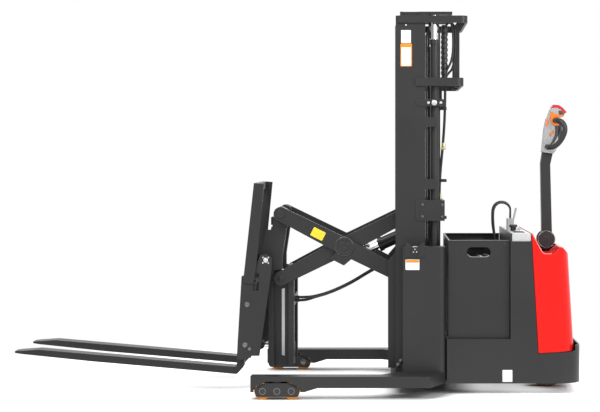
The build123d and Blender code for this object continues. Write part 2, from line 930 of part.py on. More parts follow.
with BuildPart() as chain_rear:
    for side in (left, right):
        y_low, y_high = side * sheave_y - chain_width / 2, side * sheave_y + chain_width / 2
        brick(
            strand_rear_x - chain_thickness / 2,
            strand_rear_x + chain_thickness / 2,
            y_low,
            y_high,
            chain_rear_low_z,
            sheave_z,
        )
        disc_y(sheave_x, sheave_z, sheave_radius + chain_thickness / 2, y_low, y_high)
        disc_y(
            sheave_x, sheave_z, sheave_radius - chain_thickness / 2 + 0.2, y_low, y_high, mode=Mode.SUBTRACT,
        )
        brick(
            sheave_x - 60, sheave_x + 60, y_low, y_high, sheave_z - 60, sheave_z, mode=Mode.SUBTRACT
        )
        brick(
            strand_rear_x - chain_thickness / 2,
            strand_rear_x + chain_thickness / 2,
            y_low,
            y_high,
            chain_rear_low_z,
            sheave_z,
        )
finish(chain_rear.part, "chain_rear")

# Mast carriage: side plates with the guides for the lower rollers, cross bars, lugs and pins
front_pivot_x = back_pivot_x - 2 * arm_half * cos_rest
low_pivot_z = back_pivot_z - 2 * arm_half * sin_rest
centre_x = back_pivot_x - arm_half * cos_rest
centre_z = back_pivot_z - arm_half * sin_rest
guide_top = low_pivot_z + 95
carriage_rear_x = mast_rear_x - stile_flange - slide_gap
guide_half = guide_roller_radius + 2
guide_rail_y = 252.0
cross_front_x = 602.0
reach_hinge = (back_pivot_x + 1, back_pivot_z - reach_drop)
with BuildPart() as mast_carriage:
    for y_low, y_high in both(carriage_plate_y, carriage_plate_y + carriage_plate):
        slab(
            [
                (carriage_front_x, carriage_bottom),
                (carriage_rear_x, carriage_bottom),
                (carriage_rear_x, carriage_top),
                (back_pivot_x - 50, carriage_top),
                (back_pivot_x - 50, guide_top + 60),
                (carriage_front_x, guide_top),
            ],
            y_low,
            y_high,
        )
    for y_low, y_high in both(guide_rail_y, carriage_plate_y):
        brick(carriage_front_x, carriage_front_x + 12, y_low, y_high, carriage_bottom, guide_top)
        for x in (back_pivot_x - guide_half - 12, back_pivot_x + guide_half):
            brick(x, x + 12, y_low, y_high, carriage_bottom, guide_top)
    for side in (left, right):
        for z in (carriage_bottom + 50, carriage_bottom + 385):
            y_low, y_high = sorted((side * (carriage_plate_y + carriage_plate), side * (inner_web_y - 2)))
            disc_y(mast_mid_x, z, 37, y_low, y_high)
        y_low, y_high = sorted((side * (inner_arm_y - 2), side * carriage_plate_y))
        disc_y(back_pivot_x, back_pivot_z, pivot_pin_radius, y_low, y_high)
        y_low, y_high = sorted((side * (inner_arm_y + arm_thickness + 1), side * carriage_plate_y))
        disc_y(back_pivot_x, back_pivot_z, pivot_pin_radius + 14, y_low, y_high)
    plate_y = carriage_plate_y
    brick(cross_front_x, carriage_rear_x, -plate_y, plate_y, carriage_bottom, carriage_bottom + 34)
    brick(cross_front_x, carriage_rear_x, -plate_y, plate_y, reach_hinge[1] - 33, reach_hinge[1] + 33)
    brick(cross_front_x + 12, carriage_rear_x, -plate_y, plate_y, carriage_top - 30, carriage_top)
    brick(cross_front_x, carriage_rear_x, -plate_y, plate_y, *hose_tie)
    for y, z, _ in reach_hose_table:
        bar_along((cross_front_x, z), (-1, 0, 0), hose_fitting, hose_fitting_length, y)
    for side in (left, right):
        for y in (reach_y - eye_width / 2 - 14, reach_y + eye_width / 2 + 2):
            y_low, y_high = sorted((side * y, side * (y + 12)))
            disc_y(reach_hinge[0], reach_hinge[1], 22, y_low, y_high)
            brick(
                reach_hinge[0], cross_front_x + 1, y_low, y_high, reach_hinge[1] - 22, reach_hinge[1] + 22,
            )
        y_low, y_high = sorted((side * (reach_y - 28), side * (reach_y + 28)))
        disc_y(reach_hinge[0], reach_hinge[1], 12, y_low, y_high)
        y = side * sheave_y
        lug_low = carriage_bottom + 36
        brick(cross_front_x + 12, strand_front_x + 6, y - 12, y + 12, lug_low, chain_low_z - running_gap)
        brick(cross_front_x, carriage_rear_x, y - 12, y + 12, carriage_bottom, lug_low)
finish(mast_carriage.part, "mast_carriage")


def arm_outline(start, end, depth, end_radius):
    """A long plate that narrows from its middle to round ends."""
    with BuildSketch(Plane.XZ) as outline:
        with Locations(start):
            Circle(end_radius)
        with Locations(end):
            Circle(end_radius)
        middle = ((start[0] + end[0]) / 2, (start[1] + end[1]) / 2)
        with Locations(middle):
            Circle(depth / 2)
        make_hull()
    return outline.sketch


def arm_plate(start, end, y_low, y_high):
    outline = arm_outline(start, end, arm_depth, 36)
    extrude(outline.moved(Location((0, y_high, 0))), amount=y_high - y_low)


# Inner arms: from the mast carriage's top pins down to the front frame's guides
back_top = (back_pivot_x, back_pivot_z)
back_low = (back_pivot_x, low_pivot_z)
front_top = (front_pivot_x, back_pivot_z)
front_low = (front_pivot_x, low_pivot_z)
centre = (centre_x, centre_z)
pin_bore = pivot_pin_radius + running_gap
with BuildPart() as arm_inner:
    for y_low, y_high in both(inner_arm_y, inner_arm_y + arm_thickness):
        arm_plate(front_low, back_top, y_low, y_high)
        disc_y(*back_top, pin_bore, y_low, y_high, mode=Mode.SUBTRACT)
    disc_y(*centre, pantograph_tube_radius, -inner_arm_y, inner_arm_y)
    shaft_bore = pantograph_shaft_radius + running_gap
    disc_y(
        *centre, shaft_bore, -inner_arm_y - arm_thickness, inner_arm_y + arm_thickness, mode=Mode.SUBTRACT,
    )
    for y_low, y_high in both(frame_channel_y + frame_wall + 2, inner_arm_y):
        disc_y(*front_low, guide_roller_radius, y_low, y_high - 6)
        disc_y(*front_low, 22, y_high - 6, y_high)
finish(arm_inner.part, "arm_inner")

# Outer arms: from the front frame's top pins down to the mast carriage's guides
slope = (cos_rest, -sin_rest)
reach_eye = (
    centre_x + reach_eye_along * slope[0] + reach_eye_up * sin_rest,
    centre_z + reach_eye_along * slope[1] + reach_eye_up * cos_rest,
)
with BuildPart() as arm_outer:
    for y_low, y_high in both(outer_arm_y, outer_arm_y + arm_thickness):
        arm_plate(front_top, back_low, y_low, y_high)
        disc_y(*front_top, pin_bore, y_low, y_high, mode=Mode.SUBTRACT)
    disc_y(*centre, pantograph_shaft_radius, -outer_arm_y, outer_arm_y)
    for y_low, y_high in both(outer_arm_y, outer_arm_y + arm_thickness):
        slab(
            [
                (centre_x - 30, centre_z - 20),
                (centre_x - 72, centre_z - 62),
                (centre_x - 2, centre_z - gusset_drop),
                (centre_x + 36, centre_z - 66),
            ],
            y_low,
            y_high,
        )
    for side in (left, right):
        y_low, y_high = sorted(
            (side * (outer_arm_y + arm_thickness), side * (outer_arm_y + arm_thickness + 4))
        )
        disc_y(*centre, 50, y_low, y_high)
        y_low, y_high = sorted((side * (reach_y + eye_width / 2 + running_gap), side * outer_arm_y))
        disc_y(*reach_eye, 18, y_low, y_high)
        y_low, y_high = sorted((side * (outer_arm_y + arm_thickness), side * (carriage_plate_y - 2)))
        disc_y(
            *back_low, guide_roller_radius,
            y_low + 2 if side > 0 else y_low, y_high if side > 0 else y_high - 2,
        )
        disc_y(*back_low, 22, y_low, y_high)
finish(arm_outer.part, "arm_outer")

# Reach cylinders
barrel_start = towards(reach_hinge, reach_eye, 40)
gland_start = towards(reach_hinge, reach_eye, reach_barrel_length - reach_gland_length)
rod_bottom = towards(reach_eye, reach_hinge, reach_rod_length)
aim = Vector(reach_eye[0] - reach_hinge[0], 0, reach_eye[1] - reach_hinge[1]).normalized()


with BuildPart() as reach_barrels:
    for side in (left, right):
        y = side * reach_y
        disc_y(*reach_hinge, 20, y - eye_width / 2, y + eye_width / 2)
        bar_along(reach_hinge, aim, 14, 44, y)
        bar_along(barrel_start, aim, reach_barrel_radius, reach_barrel_length - 40, y)
        bar_along(gland_start, aim, reach_barrel_radius + 4, reach_gland_length, y)
        bar_along(
            barrel_start, aim, reach_rod_radius + running_gap, reach_barrel_length, y, mode=Mode.SUBTRACT,
        )
        disc_y(*reach_hinge, 12 + running_gap, y - eye_width / 2, y + eye_width / 2, mode=Mode.SUBTRACT)
finish(reach_barrels.part, "reach_barrels")

with BuildPart() as reach_rods:
    for side in (left, right):
        y = side * reach_y
        bar_along(rod_bottom, aim, reach_rod_radius, reach_rod_length, y)
        disc_y(*reach_eye, 24, y - eye_width / 2, y + eye_width / 2)
        disc_y(*reach_eye, 12, y - eye_width / 2, y + eye_width / 2, mode=Mode.SUBTRACT)
finish(reach_rods.part, "reach_rods")

# Front frame: posts, channels that guide the inner arms' rollers, and ears for the tilt pivot
frame_front_x = front_pivot_x - frame_channel_half
frame_rear_x = front_pivot_x + frame_channel_half
channel_y = frame_channel_y
tilt_rod_z = 202.0
tilt_hinge_x = frame_rear_x - 24
with BuildPart() as front_frame:
    for side in (left, right):
        web, tip = side * channel_y, side * (channel_y + frame_channel_depth)
        inner_web_face = side * (channel_y + frame_wall)
        plan(
            [
                (frame_front_x, web),
                (frame_rear_x, web),
                (frame_rear_x, tip),
                (frame_rear_x - frame_flange, tip),
                (frame_rear_x - frame_flange, inner_web_face),
                (frame_front_x + frame_flange, inner_web_face),
                (frame_front_x + frame_flange, tip),
                (frame_front_x, tip),
            ],
            frame_channel_bottom,
            frame_channel_top,
        )
        foot = front_frame.edges().filter_by(Axis.Y).group_by(Axis.Z)[0]
        foot = foot.filter_by(lambda e: e.length > frame_channel_depth - 1)
        fillet(foot.filter_by(lambda e: e.center().Y * side > 0), frame_foot_radius)
        y_low, y_high = sorted((side * (inner_arm_y - 6), side * channel_y))
        # Post from the channel up to the top pin
        slab(
            [
                (frame_front_x, frame_channel_top),
                (front_pivot_x + 6, frame_channel_top),
                (front_pivot_x + 6, frame_channel_top + 70),
                (front_pivot_x + 34, back_pivot_z - 30),
                (front_pivot_x + 30, back_pivot_z + 24),
                (front_pivot_x, back_pivot_z + 38),
                (front_pivot_x - 30, back_pivot_z + 24),
                (frame_front_x, frame_channel_top + 110),
            ],
            y_low,
            y_high,
        )
        y_low, y_high = sorted((side * (inner_arm_y - 6), side * (outer_arm_y + arm_thickness + 6)))
        disc_y(*front_top, pivot_pin_radius, y_low, y_high)
        y_low, y_high = sorted((side * (channel_y + 30), side * (inner_arm_y - 6)))
        slab(
            [
                (tilt_pivot_x - 38, tilt_pivot_z - 40),
                (frame_front_x + 10, tilt_pivot_z - 56),
                (frame_front_x + 20, tilt_pivot_z + 150),
                (tilt_pivot_x - 4, tilt_pivot_z + 150),
                (tilt_pivot_x - 38, tilt_pivot_z),
            ],
            y_low,
            y_high,
        )
        y_low, y_high = sorted((side * (channel_y + 30), side * (side_plate_y + side_plate)))
        disc_y(tilt_pivot_x, tilt_pivot_z, 16, y_low, y_high)
    brick(
        frame_front_x + 10, frame_rear_x - 10, -channel_y, channel_y,
        frame_channel_bottom, frame_channel_bottom + 30,
    )
    brick(
        frame_front_x, frame_front_x + 20, -channel_y, channel_y, frame_channel_top - 60, frame_channel_top,
    )
    brick(frame_rear_x - frame_wall, frame_rear_x, -channel_y, channel_y, *frame_tie)
    for y, _, z in reach_hose_table:
        bar_along((frame_rear_x, z), (1, 0, 0), hose_fitting, hose_fitting_length, y)
    brick(frame_front_x + 10, front_pivot_x, -channel_y, channel_y, back_pivot_z - 60, back_pivot_z - 20)
    for y_low, y_high in both(16.0, 28.0):
        brick(tilt_hinge_x - 18, frame_rear_x - 4, y_low, y_high, frame_channel_bottom, tilt_rod_z)
        disc_y(tilt_hinge_x, tilt_rod_z, 20, y_low, y_high)
    disc_y(tilt_hinge_x, tilt_rod_z, 10, -28, 28)
finish(front_frame.part, "front_frame")

# Everything that tilts is drawn level and then leaned back about the tilt pivot
lean_back = Location((tilt_pivot_x, 0, tilt_pivot_z), (0, rest_tilt, 0)) * Location(
    (-tilt_pivot_x, 0, -tilt_pivot_z)
)
shank_rear_x = fork_heel_x + fork_thickness
bar_front_x = shank_rear_x + running_gap
bar_thickness = 32.0
bar_low_z = (160.0, 232.0)
bar_high_z = (470.0, 542.0)
tilt_eye_x = -200.0
eye_arm = Vector(tilt_eye_x - tilt_pivot_x, 0, tilt_rod_z - tilt_pivot_z).rotate(Axis.Y, -rest_tilt)
tilt_eye_level = (tilt_pivot_x + eye_arm.X, tilt_pivot_z + eye_arm.Z)
side_window = [(-212.0, 596.0), (-180.0, 596.0), (-171.0, 503.0), (-203.0, 503.0)]
with BuildPart() as fork_carriage:
    for y_low, y_high in both(side_plate_y, side_plate_y + side_plate):
        slab(
            [
                (-267.0, 572.0),
                (-255.0, 149.0),
                (-201.0, 152.0),
                (-181.0, 173.0),
                (-141.0, 177.0),
                (-118.0, 607.0),
                (tilt_pivot_x + 30, tilt_pivot_z + 14),
                (tilt_pivot_x, tilt_pivot_z + 32),
                (tilt_pivot_x - 32, tilt_pivot_z + 20),
                (-200.0, 607.0),
            ],
            y_low,
            y_high,
        )
        disc_y(tilt_pivot_x, tilt_pivot_z, 16 + running_gap, y_low, y_high, mode=Mode.SUBTRACT)
        slab(side_window, y_low, y_high, rounding=8, mode=Mode.SUBTRACT)
    for low, high in (bar_low_z, bar_high_z):
        brick(bar_front_x, bar_front_x + bar_thickness, -side_plate_y, side_plate_y, low, high)
    for y_low, y_high in both(tilt_rod_radius + 1.5, 30.0):
        brick(
            bar_front_x + bar_thickness - 2, tilt_eye_level[0], y_low, y_high,
            tilt_eye_level[1] - 22, tilt_eye_level[1] + 22,
        )
        disc_y(*tilt_eye_level, 22, y_low, y_high)
    disc_y(*tilt_eye_level, 10, -30, 30)
finish(lean_back * fork_carriage.part, "fork_carriage")


def make_fork(side):
    with BuildPart() as fork:
        low, high = side * fork_spread_y - fork_width / 2, side * fork_spread_y + fork_width / 2
        bottom = fork_top_z - fork_thickness
        tip_top = fork_top_z - fork_tip_drop
        slab(
            [
                (shank_rear_x, fork_shank_top),
                (fork_heel_x, fork_shank_top),
                (fork_heel_x, fork_top_z),
                (fork_tip_x + fork_tip_run, fork_top_z),
                (fork_tip_x, tip_top),
                (fork_tip_x, tip_top - fork_tip_thickness),
                (fork_tip_x + fork_taper, bottom),
                (shank_rear_x - fork_heel_run, bottom),
                (shank_rear_x, bottom + fork_heel_rise),
            ],
            low,
            high,
            rounding=[3, 3, 14, 60, 3, 3, 60, 18, 12],
        )
        hook_low = bar_high_z[1] + running_gap
        hook_rear_x = bar_front_x + bar_thickness / 2
        slab(
            [
                (shank_rear_x - 10, hook_low),
                (hook_rear_x, hook_low),
                (hook_rear_x, fork_shank_top - 6),
                (shank_rear_x, fork_shank_top),
                (shank_rear_x - 10, fork_shank_top),
            ],
            low,
            high,
        )
        plan(
            [
                (hook_rear_x, low),
                (hook_rear_x, high),
                (fork_tip_x + 2 * fork_tip_bevel, high),
                (fork_tip_x, high - fork_tip_bevel),
                (fork_tip_x, low + fork_tip_bevel),
                (fork_tip_x + 2 * fork_tip_bevel, low),
            ],
            0,
            fork_shank_top,
            mode=Mode.INTERSECT,
        )
    return fork.part


for name, side in sides.items():
    finish(lean_back * make_fork(side), f"fork_{name}")

with BuildPart() as backrest:
    post_y = side_plate_y + side_plate + running_gap
    rest_y = post_y + backrest_thickness
    for y_low, y_high in both(post_y, rest_y):
        slab(
            [
                (-256.0, 540.0), (-245.0, backrest_top), (-193.0, backrest_top),
                (-197.0, 620.0), (-204.0, 540.0),
            ],
            y_low,
            y_high,
        )
    brick(-245.0, -225.0, -rest_y, rest_y, backrest_top - 40, backrest_top)
    brick(-253.0, -233.0, -rest_y, rest_y, 620.0, 652.0)
    for y_low, y_high in ((-160.0, -146.0), (-7.0, 7.0), (146.0, 160.0)):
        slab(
            [(-250.0, 640.0), (-244.0, backrest_top - 30), (-226.0, backrest_top - 30), (-234.0, 640.0)],
            y_low, y_high,
        )
finish(lean_back * backrest.part, "backrest")

# Tilt cylinder between the foot of the front frame and the fork carriage
tilt_hinge = (tilt_hinge_x, tilt_rod_z)
with BuildPart() as tilt_barrel:
    disc_y(*tilt_hinge, 18, -14, 14)
    bar_along((tilt_hinge_x - tilt_neck, tilt_rod_z), (-1, 0, 0), tilt_barrel_radius, tilt_barrel_length, 0)
    bar_along(tilt_hinge, (-1, 0, 0), 12, tilt_neck + 2, 0)
    bore_start = (tilt_hinge_x - tilt_neck - 3, tilt_rod_z)
    bar_along(
        bore_start, (-1, 0, 0), tilt_rod_radius + running_gap, tilt_barrel_length, 0, mode=Mode.SUBTRACT,
    )
    disc_y(*tilt_hinge, 10 + running_gap, -14, 14, mode=Mode.SUBTRACT)
finish(tilt_barrel.part, "tilt_barrel")
with BuildPart() as tilt_rod:
    rod_start = tilt_hinge_x - tilt_neck - tilt_barrel_length + tilt_rod_grip
    bar_along((rod_start, tilt_rod_z), (-1, 0, 0), tilt_rod_radius, rod_start - tilt_eye_x - 14, 0)
    disc_y(tilt_eye_x, tilt_rod_z, 20, -tilt_rod_radius, tilt_rod_radius)
    disc_y(tilt_eye_x, tilt_rod_z, 12.5, -tilt_rod_radius, tilt_rod_radius, mode=Mode.SUBTRACT)
finish(tilt_rod.part, "tilt_rod")

# Drive unit: turntable, motor and gear leg, with the drive wheel
table_low = drive_plate_z + running_gap
motor_low = table_low + 24
motor_top = motor_low + motor_height
gear_y = drive_y + drive_wheel_width / 2 + 4
with BuildPart() as drive_unit:
    disc_z(drive_x, drive_y, turntable_radius, table_low, motor_low)
    disc_z(drive_x, drive_y, motor_radius, motor_low, motor_top)
    disc_z(drive_x, drive_y, table_hole - 5, drive_wheel_radius * 2 + 6, table_low)
    slab(
        [
            (drive_x - 44, drive_wheel_radius * 2 + 6),
            (drive_x + 44, drive_wheel_radius * 2 + 6),
            (drive_x + 44, drive_wheel_radius - 30),
            (drive_x + 20, drive_wheel_radius - 48),
            (drive_x - 20, drive_wheel_radius - 48),
            (drive_x - 44, drive_wheel_radius - 30),
        ],
        gear_y,
        gear_y + 36,
    )
    disc_y(drive_x, drive_wheel_radius, 24, drive_y - drive_wheel_width / 2 + 6, gear_y)
finish(drive_unit.part, "drive_unit")

with BuildPart() as drive_wheel:
    low, high = drive_y - drive_wheel_width / 2, drive_y + drive_wheel_width / 2
    disc_y(drive_x, drive_wheel_radius, drive_wheel_radius, low, high)
    chamfer(drive_wheel.edges().filter_by(GeomType.CIRCLE), 5)
    for y_low, y_high in ((low, low + 2 * hub_recess), (high - 2 * hub_recess, high)):
        disc_y(drive_x, drive_wheel_radius, drive_hub_radius, y_low, y_high, mode=Mode.SUBTRACT)
    disc_y(drive_x, drive_wheel_radius, 24 + running_gap, low, high, mode=Mode.SUBTRACT)
finish(drive_wheel.part, "drive_wheel")

# Castor on the other side
castor_plate_top = drive_plate_z - drive_plate_thickness
castor_wheel_x = castor_x + castor_trail
castor_head_low = 2 * castor_wheel_radius + 8
with BuildPart() as castor_mount:
    disc_z(castor_x, castor_y, 52, castor_plate_top - 50, castor_plate_top)
finish(castor_mount.part, "castor_mount")

with BuildPart() as castor_fork:
    disc_z(castor_x, castor_y, 52, castor_head_low, castor_plate_top - 50 - running_gap)
    for side in (left, right):
        y_low, y_high = sorted((castor_y + side * 29, castor_y + side * 37))
        slab(
            [
                (castor_x - 36, castor_head_low + 20),
                (castor_x + 44, castor_head_low + 20),
                (castor_wheel_x + 22, castor_wheel_radius - 10),
                (castor_wheel_x - 22, castor_wheel_radius - 16),
            ],
            y_low,
            y_high,
        )
    disc_y(castor_wheel_x, castor_wheel_radius, 10, castor_y - 40, castor_y + 40)
finish(castor_fork.part, "castor_fork")

with BuildPart() as castor_wheel:
    low, high = castor_y - castor_wheel_width / 2, castor_y + castor_wheel_width / 2
    disc_y(castor_wheel_x, castor_wheel_radius, castor_wheel_radius, low, high)
    chamfer(castor_wheel.edges().filter_by(GeomType.CIRCLE), 4)
    for y_low, y_high in ((low, low + hub_recess), (high - hub_recess, high)):
        disc_y(castor_wheel_x, castor_wheel_radius, castor_hub_radius, y_low, y_high, mode=Mode.SUBTRACT)
    disc_y(castor_wheel_x, castor_wheel_radius, 10 + running_gap, low, high, mode=Mode.SUBTRACT)
finish(castor_wheel.part, "castor_wheel")

# Tiller: the base turns with the drive unit, the arm folds down on its pivot
with BuildPart() as tiller_base:
    disc_z(drive_x, drive_y, tiller_shaft_radius, motor_top, tiller_pivot_z - 38)
    disc_z(drive_x, drive_y, 42, tiller_pivot_z - 50, tiller_pivot_z - 34)
    for side in (left, right):
        y_low, y_high = sorted((drive_y + side * 27, drive_y + side * 39))
        disc_y(drive_x, tiller_pivot_z, tiller_drum_radius, y_low, y_high)
        brick(drive_x - 36, drive_x + 36, y_low, y_high, tiller_pivot_z - 40, tiller_pivot_z)
    disc_y(drive_x, tiller_pivot_z, 12, drive_y - 39, drive_y + 39)
finish(tiller_base.part, "tiller_base")



def from_pivot(*points):
    """Points of the tiller in X and Z, given from its pivot."""
    return [(drive_x + x, tiller_pivot_z + z) for x, z in points]


neck_rear, neck_front = from_pivot((-20, 451), (34, 443))
with BuildPart() as tiller_arm:
    slab(
        [
            *from_pivot((-23, 37), (-29, 392)),
            neck_rear,
            neck_front,
            *from_pivot((21, 387), (30, 37)),
        ],
        drive_y - tiller_arm_width / 2,
        drive_y + tiller_arm_width / 2,
    )
    disc_y(drive_x, tiller_pivot_z, 30, drive_y - 26, drive_y + 26)
    brick(drive_x - 22, drive_x + 30, drive_y - 25, drive_y + 25, tiller_pivot_z, tiller_pivot_z + 47)
    disc_y(drive_x, tiller_pivot_z, 12 + running_gap, drive_y - 26, drive_y + 26, mode=Mode.SUBTRACT)
finish(tiller_arm.part, "tiller_arm")

head_top = from_pivot((25, 680), (53, 681), (75, 671), (93, 649))
head_half = 48.0
with BuildPart() as tiller_head:
    slab(
        [
            (neck_rear[0] - 2, neck_rear[1] + 0.6),
            *from_pivot((-9, 576), (7, 630)),
            *head_top,
            *from_pivot((61, 633), (53, 567), (60, 518), (53, 467)),
            (neck_front[0] + 2, neck_front[1]),
        ],
        drive_y - head_half,
        drive_y + head_half,
        rounding=[0, 40, 30, 14, 16, 10, 5, 16, 30, 30, 20, 0],
    )
finish(tiller_head.part, "tiller_head")

# One grip: dx and dz from the tiller's pivot and the distance out from its middle
grip_table = [
    (43, 617, head_half + running_gap),
    (43, 617, 84),
    (75, 611, 118),
    (97, 573, 132),
    (75, 519, 128),
    (35, 479, 108),
    (9, 477, 82),
    (9, 477, head_half + running_gap),
]
with BuildPart() as tiller_grips:
    for side in (left, right):
        with BuildLine() as loop:
            FilletPolyline(
                *[(drive_x + x, drive_y + side * out, tiller_pivot_z + z) for x, z, out in grip_table],
                radius=18,
            )
        with BuildSketch(Plane(origin=loop.line @ 0, z_dir=loop.line % 0)) as section:
            Circle(14)
        sweep(section.sketch, path=loop.line)
finish(tiller_grips.part, "tiller_grips")

button_half = 40.0
with BuildPart() as belly_button:
    slab(
        [
            *from_pivot((37, 697), (66, 694), (85, 681), (105, 658)),
            *[(x + running_gap, z + running_gap) for x, z in reversed(head_top)],
        ],
        drive_y - button_half,
        drive_y + button_half,
    )
finish(belly_button.part, "belly_button")

# Hose bundle, hose and pipe behind the mast
hose_y = -190.0
bundle_radius = 19.0
with BuildPart() as mast_hoses:
    bundle_low = second_high + 6
    disc_z(760.0, hose_y, bundle_radius, bundle_low, loop_low)
    tube(
        [
            (764.3, hose_y, bundle_low),
            (764.8, hose_y, 1440.0),
            (754.0, hose_y, 1262.0),
            (738.0, hose_y, 1100.0),
            (734.0, hose_y, 980.0),
            (733.0, hose_y, 760.0),
        ],
        hose_radius,
    )
finish(mast_hoses.part, "mast_hoses")

# Hoses that cross the pantograph, from the mast carriage's tie to the front frame's
hose_sag = [
    # x, drop below the start
    (548.0, 0.0),
    (488.0, -20.0),
    (392.0, -62.0),
    (276.0, -135.0),
    (164.0, -186.0),
    (84.0, -208.0),
]
with BuildPart() as reach_hoses:
    for y, z_back, z_front in reach_hose_table:
        hose_start = cross_front_x - hose_fitting_length
        hose_end = frame_rear_x + hose_fitting_length
        points = [(hose_start, y, z_back)]
        points += [(x, y, z_back + drop) for x, drop in hose_sag]
        points += [(hose_end + 34, y, z_front), (hose_end, y, z_front)]
        tube(points, hose_radius)
finish(reach_hoses.part, "reach_hoses")

# Battery cables that rise out of the compartment and loop over to their plug
cable_radius = 5.0
cable_pitch = 6.0
for name, offset_y in (("near", -cable_pitch), ("far", cable_pitch)):
    with BuildPart() as battery_cable:
        tube(
            [
                (1034.0, -60.0 + offset_y, battery_top + running_gap),
                (1036.0, -60.0 + offset_y, 700.0),
                (1030.0, -59.0 + offset_y, 760.0),
                (1020.0, -57.0 + offset_y, 820.0),
                (1015.0, -53.0 + offset_y, 875.0),
                (1018.0, -48.0 + offset_y, 925.0),
                (1044.0, -44.0 + offset_y, 954.0),
                (1084.0, -41.0 + offset_y, 955.0),
                (plug_x, plug_y + offset_y, 928.0),
                (plug_x + 1, plug_y + offset_y, 900.0),
                (plug_x, plug_y + offset_y, plug_top + running_gap),
            ],
            cable_radius,
        )
    finish(battery_cable.part, f"battery_cable_{name}")
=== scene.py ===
"""Walkie reach stacker: finish, small fittings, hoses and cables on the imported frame. Metres, Z up."""
import math
import bmesh
import bpy
from mathutils import Matrix, Vector


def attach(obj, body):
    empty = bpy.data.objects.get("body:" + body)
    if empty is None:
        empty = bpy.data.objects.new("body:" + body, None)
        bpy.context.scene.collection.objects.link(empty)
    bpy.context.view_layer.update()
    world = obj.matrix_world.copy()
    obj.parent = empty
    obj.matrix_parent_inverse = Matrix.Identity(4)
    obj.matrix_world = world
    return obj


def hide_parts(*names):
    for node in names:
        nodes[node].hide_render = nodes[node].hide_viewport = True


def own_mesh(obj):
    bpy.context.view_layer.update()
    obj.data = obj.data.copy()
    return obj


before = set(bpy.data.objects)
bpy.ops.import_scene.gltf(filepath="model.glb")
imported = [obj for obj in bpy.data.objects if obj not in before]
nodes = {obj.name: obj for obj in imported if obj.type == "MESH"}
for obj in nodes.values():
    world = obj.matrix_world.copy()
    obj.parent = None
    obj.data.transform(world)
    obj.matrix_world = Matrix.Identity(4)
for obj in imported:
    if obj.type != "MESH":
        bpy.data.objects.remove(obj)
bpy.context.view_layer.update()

# Sides across the machine: the left one, at negative Y, faces the camera
SIDES = LEFT, RIGHT = -1, 1
SIDE_NAMES = ("left", "right")
UP = (0, 0, 1)

# Picture: its size, principal point and focal length in pixels, and the camera's place
IMAGE_WIDTH, IMAGE_HEIGHT = 600, 412
CENTRE_U, CENTRE_V = 388.0, 155.0
FOCAL_PIXELS = 1634.0
CAMERA_PLACE = Vector((0.470, -8.605, 1.199))
SENSOR_WIDTH = 36.0
CLIP_END = 100.0

# Materials: how the surface effects are laid out, the same in each
CLOUD_STOPS = (0.3, 0.7)
CLOUD_DETAIL, SMUDGE_DETAIL, GRAIN_DETAIL = 5.0, 6.0, 2.0
SMUDGE_PER_CLOUD = 6
EDGE_FLAT, EDGE_SHARP = 0.995, 0.80
WEAR_SCALE, WEAR_DETAIL, WEAR_LEAST = 30.0, 4.0, 0.1
SCUFF_SCALE, SCUFF_DETAIL, SCUFF_STRETCH = 14.0, 8.0, (0.25, 1.0, 1.0)
SCUFF_STOPS, SCUFF_LIGHT = (0.60, 0.72), 2.6
GRAIN_DEPTH = 0.0006
COAT_ROUGHNESS = 0.08
HEAD_LINE, HEAD_FACE = (0.008, 0.008, 0.008), (0.030, 0.030, 0.031)
HEAD_LINE_SHARE, HEAD_FACE_SHARE = 0.80, 0.62


def new_material(name):
    material = bpy.data.materials.new(name)
    material.use_nodes = True
    tree = material.node_tree
    return material, tree, tree.nodes["Principled BSDF"]


def add_node(tree, kind, **values):
    """A node with its settings and inputs; another node's output is linked, any other value is set."""
    node = tree.nodes.new(kind)
    for key, value in values.items():
        if key not in node.inputs:
            setattr(node, key, value)
        elif isinstance(value, bpy.types.NodeSocket):
            tree.links.new(value, node.inputs[key])
        else:
            node.inputs[key].default_value = value
    return node


def object_noise(tree, scale, detail, stretch=(1.0, 1.0, 1.0)):
    """A noise value over the object's own coordinates."""
    place = add_node(tree, "ShaderNodeTexCoord").outputs["Object"]
    mapping = add_node(tree, "ShaderNodeMapping", Vector=place, Scale=stretch).outputs["Vector"]
    return add_node(tree, "ShaderNodeTexNoise", Vector=mapping, Scale=scale, Detail=detail).outputs["Fac"]


def ramp(tree, value, stops):
    """A colour along a value: the two stops are (position, rgb)."""
    node = add_node(tree, "ShaderNodeValToRGB", Fac=value)
    for element, (position, colour) in zip(node.color_ramp.elements, stops):
        element.position = position
        element.color = (*colour, 1.0)
    return node.outputs["Color"]


def span(tree, value, low, high):
    """Maps a value from 0..1 to low..high."""
    limits = {"To Min": low, "To Max": high}
    return add_node(tree, "ShaderNodeMapRange", Value=value, **limits).outputs["Result"]


def combine(tree, operation, first, second):
    """One value from two, each a socket or a plain number."""
    node = add_node(tree, "ShaderNodeMath", operation=operation)
    for index, value in enumerate((first, second)):
        if isinstance(value, float):
            node.inputs[index].default_value = value
        else:
            tree.links.new(value, node.inputs[index])
    return node.outputs["Value"]


def mix_over(tree, base, share, colour):
    """A base colour, covered by another one as far as the share says."""
    mixed = add_node(tree, "ShaderNodeMix", data_type="RGBA", Factor=share, A=base, B=(*colour, 1.0))
    return mixed.outputs["Result"]


def shade(colour, factor):
    return tuple(min(1.0, c * factor) for c in colour)


